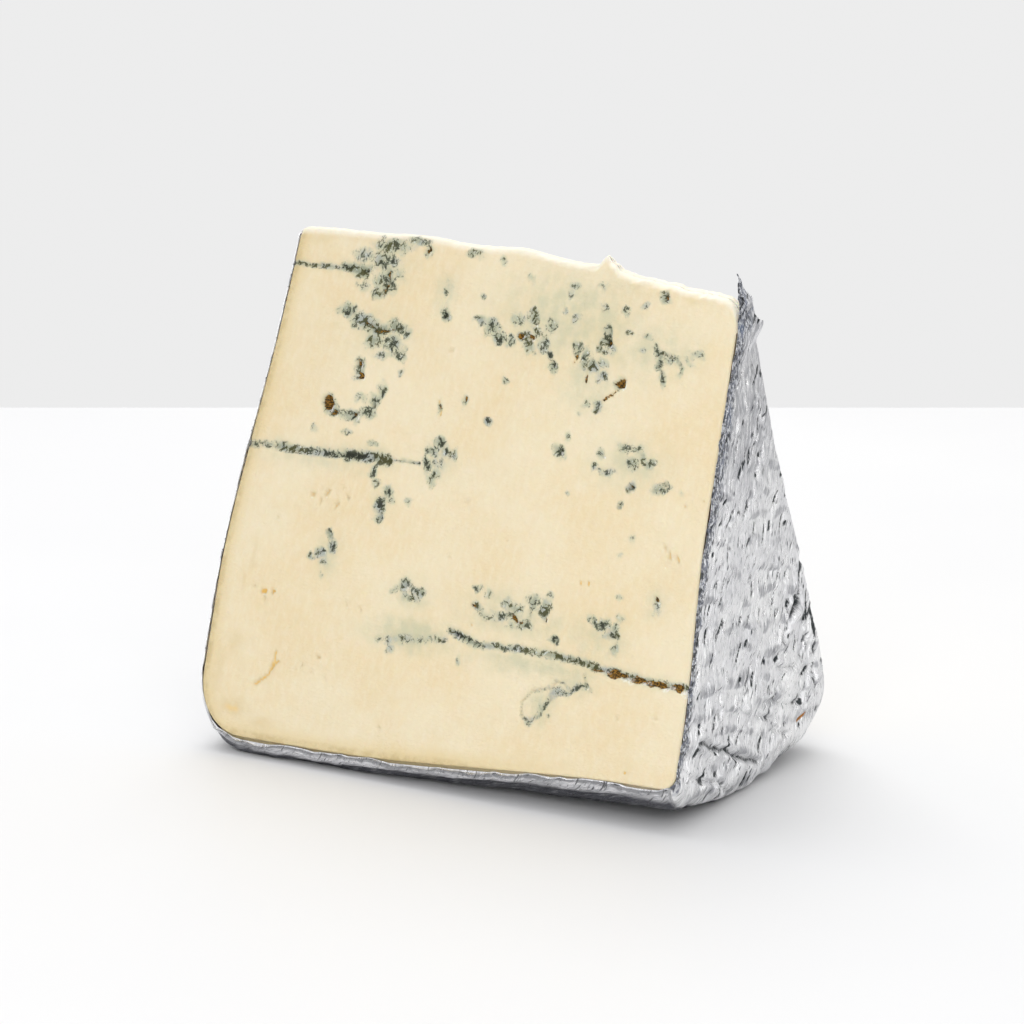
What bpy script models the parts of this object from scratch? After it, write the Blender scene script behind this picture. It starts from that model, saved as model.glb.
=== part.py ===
"""A wedge of blue cheese cut from a small wheel and stood on its rim.

The wheel's axis lies along X, above the wedge. The two knife cuts run from that axis down to the rim,
one leaning back at the front (-Y) and one leaning forward at the back (+Y). A sheet of foil still wraps
the left flat side, the rim and the right flat side, and both cut faces and the top are bare.
Metres, +Z up, resting on z = 0 with the origin under the middle of the wedge.
"""

import math

import bmesh
import bpy

# The wheel that the wedge was cut from.
WHEEL_RADIUS = 0.1022
FRONT_ANGLE = math.radians(17.5)
BACK_ANGLE = math.radians(19.4)

# The flat sides: each one's distance from the middle plane at the axis, and how it flares towards the rim.
LEFT_TOP = 0.0467
LEFT_FLARE = 0.0066
LEFT_FLARE_ENDS = 0.078
RIGHT_TOP = 0.0504
RIGHT_FLARE = 0.0016
RIGHT_FLARE_STARTS = 0.050
RIGHT_FLARE_ENDS = 0.090

# The corners between the rim and the flat sides. The right one is rounder towards the back cut.
LEFT_CORNER = 0.0110
RIGHT_CORNER_FRONT = 0.0030
RIGHT_CORNER_BACK = 0.0050

# The paste has slumped: the rim is let out at the left and drawn in at the right.
SLUMP_LEFT = 0.0034
SLUMP_RIGHT = -0.0004
SLUMP_FROM = -0.030
SLUMP_TO = 0.050

# The crumbled crest: how far it stays from the wheel's axis. It falls gently to the right, then in a step.
CREST_LEFT = 0.0028
CREST_FALL = 0.034
CREST_STEP = 0.0054
CREST_STEP_FROM = 0.021
CREST_STEP_TO = 0.044
CREST_LEFT_ROUND = 0.0010
CREST_RIGHT_ROUND = 0.0032

# The rim curls up where the knife pressed on it. RIM_REACH is how deep the shape of the rim is felt.
FRONT_ROLL_LEFT = 0.0024
FRONT_ROLL_RIGHT = 0.0030
FRONT_ROLL_LENGTH = 0.0060
BACK_ROLL = 0.0040
BACK_ROLL_LENGTH = 0.0110
RIM_REACH = 0.0200

# The foil, and its clearance to the cheese.
FOIL_THICKNESS = 0.0005
FOIL_GAP = 0.0003
FOIL_LEFT_END = 0.0040
FOIL_TIP = 0.0040

# The wedge's weight flattens the rim by this much where it stands.
FLATTENED = 0.0006

SIDE_STEPS = 14
CORNER_STEPS = 5
RIM_STEPS = 18
CREST_STEPS = 22
ROLL_STEPS = 4
SWEEP_STEPS = 10

AXIS_HEIGHT = WHEEL_RADIUS + FOIL_GAP + FOIL_THICKNESS - FLATTENED


def smooth_step(value):
    value = min(max(value, 0.0), 1.0)
    return value * value * (3.0 - 2.0 * value)


def spaced(first, last, steps):
    return [first + (last - first) * i / steps for i in range(steps + 1)]


def left_x(radius):
    return -LEFT_TOP - LEFT_FLARE * smooth_step(radius / LEFT_FLARE_ENDS)


def right_x(radius):
    reach = (radius - RIGHT_FLARE_STARTS) / (RIGHT_FLARE_ENDS - RIGHT_FLARE_STARTS)
    return RIGHT_TOP + RIGHT_FLARE * smooth_step(reach)


def round_drop(distance, radius):
    """How far a quarter circle of this radius has fallen at a distance from its end."""
    if distance >= radius:
        return 0.0
    inside = 1.0 - max(distance, 0.0) / radius
    return radius * (1.0 - math.sqrt(1.0 - inside * inside))


def crest_radius(x):
    """The distance from the wheel's axis at which the cheese starts, along its crest."""
    step = smooth_step((x - CREST_STEP_FROM) / (CREST_STEP_TO - CREST_STEP_FROM))
    radius = CREST_LEFT + CREST_FALL * (x + LEFT_TOP) + CREST_STEP * step
    radius += round_drop(x + LEFT_TOP, CREST_LEFT_ROUND)
    return radius + round_drop(RIGHT_TOP - x, CREST_RIGHT_ROUND)


def rim_path(left_start, right_end, angle):
    """Points (x, radius) down the left side, round the rim and up the right side."""
    turn = spaced(0.0, math.pi / 2, CORNER_STEPS)
    backwards = smooth_step((angle + FRONT_ANGLE) / (FRONT_ANGLE + BACK_ANGLE))
    right_corner = RIGHT_CORNER_FRONT + (RIGHT_CORNER_BACK - RIGHT_CORNER_FRONT) * backwards
    left_centre = left_x(WHEEL_RADIUS) + LEFT_CORNER
    right_centre = right_x(WHEEL_RADIUS) - right_corner
    left_side = spaced(left_start, WHEEL_RADIUS - LEFT_CORNER, SIDE_STEPS)
    right_side = spaced(WHEEL_RADIUS - right_corner, right_end, SIDE_STEPS)

    path = [(left_x(radius), radius) for radius in left_side[:-1]]
    for bend in turn:
        x = left_centre - LEFT_CORNER * math.cos(bend)
        path.append((x, WHEEL_RADIUS - LEFT_CORNER * (1.0 - math.sin(bend))))
    for x in spaced(left_centre, right_centre, RIM_STEPS)[1:-1]:
        path.append((x, WHEEL_RADIUS))
    for bend in reversed(turn):
        x = right_centre + right_corner * math.cos(bend)
        path.append((x, WHEEL_RADIUS - right_corner * (1.0 - math.sin(bend))))
    path += [(right_x(radius), radius) for radius in right_side[1:]]
    return path


def offset_path(path, distance):
    """The path moved outwards, square to itself."""
    moved = []
    for i, (x, radius) in enumerate(path):
        before = path[max(i - 1, 0)]
        after = path[min(i + 1, len(path) - 1)]
        run = after[0] - before[0]
        rise = after[1] - before[1]
        length = math.hypot(run, rise)
        moved.append((x - distance * rise / length, radius + distance * run / length))
    return moved


def sweep_angles():
    """Angles from the front cut to the back cut, measured from straight down, closer where the rim rolls."""
    front_roll = FRONT_ROLL_LENGTH / WHEEL_RADIUS
    back_roll = BACK_ROLL_LENGTH / WHEEL_RADIUS
    angles = spaced(-FRONT_ANGLE, front_roll - FRONT_ANGLE, ROLL_STEPS)
    angles += spaced(front_roll - FRONT_ANGLE, BACK_ANGLE - back_roll, SWEEP_STEPS)[1:]
    return angles + spaced(BACK_ANGLE - back_roll, BACK_ANGLE, ROLL_STEPS)[1:]


def shaped(x, radius, angle):
    """The radius near the rim, let out where the paste slumped and drawn in where the cut edges curl up."""
    front = round_drop((angle + FRONT_ANGLE) * WHEEL_RADIUS / FRONT_ROLL_LENGTH, 1.0)
    back = round_drop((BACK_ANGLE - angle) * WHEEL_RADIUS / BACK_ROLL_LENGTH, 1.0)
    rightwards = smooth_step((x - SLUMP_FROM) / (SLUMP_TO - SLUMP_FROM))
    change = SLUMP_LEFT + (SLUMP_RIGHT - SLUMP_LEFT) * rightwards
    change -= front * (FRONT_ROLL_LEFT + (FRONT_ROLL_RIGHT - FRONT_ROLL_LEFT) * rightwards)
    change -= back * BACK_ROLL
    return radius + change * smooth_step((radius - WHEEL_RADIUS + RIM_REACH) / RIM_REACH)


def place(x, radius, angle, lowest):
    """A point of the wheel, in the wedge's frame, kept above the flat that the wedge stands on."""
    radius = shaped(x, radius, angle)
    height = AXIS_HEIGHT - radius * math.cos(angle)
    return (x, radius * math.sin(angle), max(height, lowest))


def place_crest(x, angle):
    """A point of the crest, which is level from the front cut to the back cut."""
    radius = crest_radius(x) * math.cos(BACK_ANGLE) / math.cos(angle)
    return (x, radius * math.sin(angle), AXIS_HEIGHT - radius * math.cos(angle))


def add_rows(mesh, rows):
    return [[mesh.verts.new(point) for point in row] for row in rows]


def join_rows(mesh, first, second, closed):
    """A strip of quads between two rows of vertices."""
    count = len(first) if closed else len(first) - 1
    for i in range(count):
        j = (i + 1) % len(first)
        mesh.faces.new((first[i], first[j], second[j], second[i]))


def material(name, colour, roughness, metallic):
    made = bpy.data.materials.new(name)
    made.use_nodes = True
    shader = made.node_tree.nodes["Principled BSDF"]
    shader.inputs["Base Color"].default_value = (*colour, 1.0)
    shader.inputs["Roughness"].default_value = roughness
    shader.inputs["Metallic"].default_value = metallic
    return made


def add_object(name, mesh, look):
    bmesh.ops.recalc_face_normals(mesh, faces=mesh.faces)
    data = bpy.data.meshes.new(name)
    mesh.to_mesh(data)
    mesh.free()
    data.shade_smooth()
    data.set_sharp_from_angle(angle=math.radians(35))
    data.materials.append(look)
    made = bpy.data.objects.new(name, data)
    bpy.context.scene.collection.objects.link(made)
    return made


def make_cheese():
    """One solid: the wheel's cross section swept from cut to cut."""
    lowest = FOIL_THICKNESS + FOIL_GAP
    crest = spaced(RIGHT_TOP, -LEFT_TOP, CREST_STEPS)
    mesh = bmesh.new()
    rows = []
    for angle in sweep_angles():
        rim = rim_path(crest_radius(-LEFT_TOP), crest_radius(RIGHT_TOP), angle)
        row = [place(x, radius, angle, lowest) for x, radius in rim[1:-1]]
        rows.append(row + [place_crest(x, angle) for x in crest])
    rows = add_rows(mesh, rows)
    for first, second in zip(rows, rows[1:]):
        join_rows(mesh, first, second, closed=True)
    mesh.faces.new(rows[0])
    mesh.faces.new(rows[-1])
    return add_object("cheese", mesh, material("cheese_paste", (0.84, 0.72, 0.47), 0.55, 0.0))


def make_foil():
    """One bent sheet: up the left side, under the rim and up the right side."""
    mesh = bmesh.new()
    loops = []
    for angle in sweep_angles():
        path = rim_path(FOIL_LEFT_END, FOIL_TIP, angle)
        inner = offset_path(path, FOIL_GAP)
        outer = offset_path(path, FOIL_GAP + FOIL_THICKNESS)
        loop = [place(x, radius, angle, FOIL_THICKNESS) for x, radius in inner]
        loops.append(loop + [place(x, radius, angle, 0.0) for x, radius in reversed(outer)])
    rows = add_rows(mesh, loops)
    for first, second in zip(rows, rows[1:]):
        join_rows(mesh, first, second, closed=True)
    for end in (rows[0], rows[-1]):
        count = len(inner)
        for i in range(count - 1):
            mesh.faces.new((end[i], end[i + 1], end[2 * count - 2 - i], end[2 * count - 1 - i]))
    return add_object("foil", mesh, material("foil_silver", (0.76, 0.77, 0.80), 0.34, 1.0))


def stand_over_origin(pieces):
    """Shifts the pieces level, together, until the middle of their box is over the origin."""
    for axis in (0, 1):
        places = [corner.co[axis] for piece in pieces for corner in piece.data.vertices]
        middle = (min(places) + max(places)) / 2
        for piece in pieces:
            piece.location[axis] = -middle


def main():
    for old in list(bpy.data.objects):
        bpy.data.objects.remove(old)
    stand_over_origin([make_cheese(), make_foil()])


main()
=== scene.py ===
"""The looks of a wedge of blue cheese that still stands in the foil it was wrapped in.

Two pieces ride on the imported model: the cheese, cut on two sides and crumbly along its crest, and the
foil, one bent sheet up the left side, under the rim and up the right side. Both are grids of points worked
out with the same shape functions as the CAD solids, with finer relief on top.
Lengths are in millimetres until a mesh is made.
"""

import math

import bpy
import numpy as np
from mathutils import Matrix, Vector


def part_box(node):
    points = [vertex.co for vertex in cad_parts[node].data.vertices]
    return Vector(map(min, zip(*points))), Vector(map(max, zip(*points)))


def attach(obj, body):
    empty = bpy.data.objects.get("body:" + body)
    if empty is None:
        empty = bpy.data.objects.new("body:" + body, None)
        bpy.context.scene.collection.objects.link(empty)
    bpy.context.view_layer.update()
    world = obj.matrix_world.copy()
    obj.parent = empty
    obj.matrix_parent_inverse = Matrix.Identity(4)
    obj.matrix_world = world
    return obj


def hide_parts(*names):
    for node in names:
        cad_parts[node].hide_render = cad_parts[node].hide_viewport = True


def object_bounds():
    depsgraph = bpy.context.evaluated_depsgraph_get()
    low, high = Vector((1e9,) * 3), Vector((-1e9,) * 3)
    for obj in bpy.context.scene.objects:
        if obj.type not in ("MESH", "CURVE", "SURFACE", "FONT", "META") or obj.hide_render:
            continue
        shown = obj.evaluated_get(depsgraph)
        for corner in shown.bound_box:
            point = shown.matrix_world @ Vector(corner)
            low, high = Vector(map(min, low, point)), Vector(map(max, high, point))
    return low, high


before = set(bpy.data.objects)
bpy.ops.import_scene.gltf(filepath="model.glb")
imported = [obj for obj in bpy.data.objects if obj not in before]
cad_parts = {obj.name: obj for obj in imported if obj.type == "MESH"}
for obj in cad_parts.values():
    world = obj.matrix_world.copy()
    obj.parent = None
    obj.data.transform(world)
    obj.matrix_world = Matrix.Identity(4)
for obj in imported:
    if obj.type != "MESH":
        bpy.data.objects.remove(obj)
cad_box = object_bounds()

MM = 0.001

# The shape of the CAD solids, in millimetres and radians.
WHEEL_RADIUS = 102.2
FRONT_ANGLE = math.radians(17.5)
BACK_ANGLE = math.radians(19.4)
LEFT_TOP = 46.7
LEFT_FLARE = 6.6
LEFT_FLARE_ENDS = 78.0
RIGHT_TOP = 50.4
RIGHT_FLARE = 1.6
RIGHT_FLARE_STARTS = 50.0
RIGHT_FLARE_ENDS = 90.0
LEFT_CORNER = 11.0
RIGHT_CORNER_FRONT = 3.0
RIGHT_CORNER_BACK = 5.0
SLUMP_LEFT = 3.4
SLUMP_RIGHT = -0.4
SLUMP_FROM = -30.0
SLUMP_TO = 50.0
CREST_LEFT = 2.8
CREST_FALL = 0.034
CREST_STEP = 5.4
CREST_STEP_FROM = 21.0
CREST_STEP_TO = 44.0
CREST_LEFT_ROUND = 1.0
FRONT_ROLL_LEFT = 2.4
FRONT_ROLL_RIGHT = 3.0
FRONT_ROLL_LENGTH = 6.0
BACK_ROLL = 4.0
BACK_ROLL_LENGTH = 11.0
RIM_REACH = 20.0
FOIL_THICKNESS = 0.5
FOIL_GAP = 0.3
FLATTENED = 0.6

# What the CAD solids leave out: a rounder right corner on the crest, its lumps and its one crumb, how much
# higher it is at each end, and how far the right side has sunk in. A lump has a height, an x and a width.
CREST_RIGHT_ROUND = 5.0
CREST_LUMPS = ((0.9, 5.0, 9.0), (0.8, -18.0, 8.0), (0.9, 23.4, 0.8))
CRUMB_HEIGHT = 2.4
CRUMB_X = 21.6
CRUMB_WIDTH = 0.8
RIGHT_RISE = 3.0
LEFT_RISE = 0.6
SUNK = 2.0

# The visible cheese fills the gap that the CAD model leaves between the two solids.
CHEESE_SPREAD = 0.3
CHEESE_SPREAD_LEFT = 0.18

# Where the wheel's axis is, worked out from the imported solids.
SHIFT_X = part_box("foil")[0].x / MM + LEFT_TOP + LEFT_FLARE + FOIL_GAP + FOIL_THICKNESS
FRONT_REACH = WHEEL_RADIUS + SLUMP_LEFT - FRONT_ROLL_LEFT
AXIS_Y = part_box("cheese")[0].y / MM + FRONT_REACH * math.sin(FRONT_ANGLE)
AXIS_Z = WHEEL_RADIUS + FOIL_GAP + FOIL_THICKNESS - FLATTENED

# Large odd numbers that mix a lattice point and a seed into a number that looks random.
MIX_ACROSS = 73856093
MIX_DOWN = 19349663
MIX_SEED = 83492791
MIX_AGAIN = 1274126177
MIX_ONCE_MORE = 668265263
KEPT_BITS = 0x7FFFFFFF
SCATTER_STEPS = 0xFFFFFF


# ---------------------------------------------------------------- noise

def scatter(i, j, seed):
    """A repeatable number from 0 to 1 for each point of a square lattice."""
    mixed = i.astype(np.int64) * MIX_ACROSS ^ j.astype(np.int64) * MIX_DOWN ^ (seed + 11) * MIX_SEED
    mixed = ((mixed ^ (mixed >> 13)) & KEPT_BITS) * MIX_AGAIN
    mixed = ((mixed ^ (mixed >> 16)) & KEPT_BITS) * MIX_ONCE_MORE
    return ((mixed >> 12) & SCATTER_STEPS) / float(SCATTER_STEPS)


def waves(x, y, seed):
    """Smooth gradient noise from about -1 to 1, one bump to a unit."""
    i, j = np.floor(x), np.floor(y)
    across, down = x - i, y - j

    def corner(right, under):
        turn = 2.0 * math.pi * scatter(i + right, j + under, seed)
        return np.cos(turn) * (across - right) + np.sin(turn) * (down - under)

    blend_x = across ** 3 * (across * (across * 6.0 - 15.0) + 10.0)
    blend_y = down ** 3 * (down * (down * 6.0 - 15.0) + 10.0)
    upper = corner(0, 0) * (1.0 - blend_x) + corner(1, 0) * blend_x
    lower = corner(0, 1) * (1.0 - blend_x) + corner(1, 1) * blend_x
    return 1.5 * (upper * (1.0 - blend_y) + lower * blend_y)


def rough(x, y, seed, octaves=4):
    """Waves on waves, each half as long and half as high as the last."""
    total = 0.0
    for level in range(octaves):
        total = total + waves(x * 2 ** level, y * 2 ** level, seed + level) / 2 ** level
    return total


def facets(x, y, seed):
    """Flat triangles that meet in sharp creases, from -1 to 1."""
    u = x + 0.577 * y
    v = 1.155 * y
    i, j = np.floor(u), np.floor(v)
    across, down = u - i, v - j
    first = scatter(i, j, seed)
    right = scatter(i + 1, j, seed)
    under = scatter(i, j + 1, seed)
    far = scatter(i + 1, j + 1, seed)
    near_half = first + (right - first) * across + (under - first) * down
    far_half = far + (under - far) * (1.0 - across) + (right - far) * (1.0 - down)
    return 2.0 * np.where(across + down < 1.0, near_half, far_half) - 1.0


def smooth_step(value):
    """0 below 0, 1 above 1 and a smooth rise between."""
    value = np.clip(value, 0.0, 1.0)
    return value * value * (3.0 - 2.0 * value)


def bump(value, middle, width):
    """1 where the value is at the middle, falling to 0 on both sides of it."""
    return np.exp(-((value - middle) / width) ** 2)


# ---------------------------------------------------------------- the shape of the wedge

def left_x(radius):
    return -LEFT_TOP - LEFT_FLARE * smooth_step(radius / LEFT_FLARE_ENDS)


def right_x(radius):
    reach = (radius - RIGHT_FLARE_STARTS) / (RIGHT_FLARE_ENDS - RIGHT_FLARE_STARTS)
    return RIGHT_TOP + RIGHT_FLARE * smooth_step(reach)


def round_drop(distance, radius):
    """How far a quarter circle of this radius has fallen at a distance from its end."""
    inside = 1.0 - np.clip(distance / radius, 0.0, 1.0)
    return radius * (1.0 - np.sqrt(1.0 - inside * inside))


def near_rim(radius):
    """From 0 deep inside the wheel to 1 at its rim."""
    return smooth_step((radius - WHEEL_RADIUS + RIM_REACH) / RIM_REACH)


def backwards(angle):
    """From 0 at the front cut to 1 at the back cut."""
    return (angle + FRONT_ANGLE) / (FRONT_ANGLE + BACK_ANGLE)


def crest_radius(x):
    """The distance from the wheel's axis at which the cheese starts, with the crest's real dips and bumps."""
    step = smooth_step((x - CREST_STEP_FROM) / (CREST_STEP_TO - CREST_STEP_FROM))
    radius = CREST_LEFT + CREST_FALL * (x + LEFT_TOP) + CREST_STEP * step
    radius = radius + round_drop(x + LEFT_TOP, CREST_LEFT_ROUND)
    radius = radius + round_drop(RIGHT_TOP - x, CREST_RIGHT_ROUND)
    for height, middle, width in CREST_LUMPS:
        radius = radius - height * bump(x, middle, width)
    radius = radius - CRUMB_HEIGHT * np.sqrt(bump(x, CRUMB_X, CRUMB_WIDTH))
    radius = radius - RIGHT_RISE * smooth_step((x - 25.0) / 16.0)
    radius = radius - LEFT_RISE * smooth_step((12.0 - x) / 10.0) * smooth_step((x + LEFT_TOP) / 8.0)
    torn = 0.25 + 0.55 * smooth_step((x - 12.0) / 24.0)
    return radius + torn * (0.5 * waves(x / 4.1, x * 0.0, 3) + 0.35 * waves(x / 1.3, x * 0.0, 4))


def drawn_in(radius, angle, share):
    """How far the right side has sunk in, high up and towards the back cut."""
    high_up = smooth_step(radius / 14.0) * smooth_step((72.0 - radius) / 50.0)
    return SUNK * smooth_step(backwards(angle)) * share * high_up


def right_corner(angle):
    """How round the corner between the rim and the right side is."""
    return RIGHT_CORNER_FRONT + (RIGHT_CORNER_BACK - RIGHT_CORNER_FRONT) * smooth_step(backwards(angle))


def corner_curve(radius, corner):
    """How far the round corner at the rim has come in from the side."""
    below = np.clip(radius - (WHEEL_RADIUS - corner), 0.0, corner)
    return corner - np.sqrt(corner ** 2 - below ** 2)


def rolls(angle):
    """How far the rim curls up at the front and back cuts: 1 at the cut, and 0 where the roll ends."""
    front = round_drop((angle + FRONT_ANGLE) * WHEEL_RADIUS / FRONT_ROLL_LENGTH, 1.0)
    back = round_drop((BACK_ANGLE - angle) * WHEEL_RADIUS / BACK_ROLL_LENGTH, 1.0)
    return front, back


def shaped(x, radius, angle):
    """The radius near the rim, let out where the paste slumped and drawn in where the cut edges curl up."""
    front, back = rolls(angle)
    rightwards = smooth_step((x - SLUMP_FROM) / (SLUMP_TO - SLUMP_FROM))
    change = SLUMP_LEFT + (SLUMP_RIGHT - SLUMP_LEFT) * rightwards
    change = change - front * (FRONT_ROLL_LEFT + (FRONT_ROLL_RIGHT - FRONT_ROLL_LEFT) * rightwards)
    change = change - back * BACK_ROLL
    return radius + change * near_rim(radius)


def place(x, radius, angle, lowest):
    """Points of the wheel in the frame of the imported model, none of them under the lowest height."""
    height = AXIS_Z - radius * np.cos(angle)
    spots = np.broadcast_arrays(x + SHIFT_X, AXIS_Y + radius * np.sin(angle), np.maximum(height, lowest))
    return np.stack(spots, axis=-1)


# ---------------------------------------------------------------- meshes

# Every second row and column of a grid, for the sides that the photo doesn't show.
COARSE = (slice(None, None, 2), slice(None, None, 2))


def numbered(start, shape):
    """A grid of vertex numbers."""
    return start + np.arange(shape[0] * shape[1]).reshape(shape)


def flat_list(grid):
    """The values of a grid one after the other, or its vectors."""
    return grid.reshape((-1,) + grid.shape[2:])


def grid_quads(index):
    """Quads between the points of a grid of vertex numbers."""
    corners = (index[:-1, :-1], index[1:, :-1], index[1:, 1:], index[:-1, 1:])
    return np.stack([corner.ravel() for corner in corners], axis=-1)


def loop_of(grid):
    """The outer ring of a grid, once round."""
    return np.concatenate([grid[0, :-1], grid[:-1, -1], grid[-1, :0:-1], grid[:0:-1, 0]])


def ring_quads(first, second):
    """Quads between two rings with the same number of points."""
    after_first, after_second = np.roll(first, -1), np.roll(second, -1)
    return np.stack([first, after_first, after_second, second], axis=-1)


def ring_to_half(fine, coarse):
    """Triangles from a ring to one with half as many points."""
    before, middle, after = fine[0::2], fine[1::2], np.roll(fine, -2)[0::2]
    beyond = np.roll(coarse, -1)
    parts = ((before, middle, coarse), (middle, beyond, coarse), (middle, after, beyond))
    return np.concatenate([np.stack(part, axis=-1) for part in parts])


def make_mesh(name, points, quads, triangles, values, look):
    """A mesh object from arrays, with a named value at each point."""
    data = bpy.data.meshes.new(name)
    data.vertices.add(len(points))
    data.vertices.foreach_set("co", (points * MM).astype(np.float32).ravel())
    corners = np.concatenate([quads.ravel(), triangles.ravel()]).astype(np.int32)
    starts = np.concatenate([
        np.arange(len(quads)) * 4,
        len(quads) * 4 + np.arange(len(triangles)) * 3,
    ]).astype(np.int32)
    data.loops.add(len(corners))
    data.loops.foreach_set("vertex_index", corners)
    data.polygons.add(len(starts))
    data.polygons.foreach_set("loop_start", starts)
    data.update(calc_edges=True)
    data.validate()
    data.shade_smooth()
    for key, value in values.items():
        kind = "FLOAT_VECTOR" if value.ndim == 2 else "FLOAT"
        field = "vector" if value.ndim == 2 else "value"
        layer = data.attributes.new(key, kind, "POINT")
        layer.data.foreach_set(field, value.astype(np.float32).ravel())
    data.materials.append(look)
    made = bpy.data.objects.new(name, data)
    bpy.context.scene.collection.objects.link(made)
    return made


# ---------------------------------------------------------------- what the mould did

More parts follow.
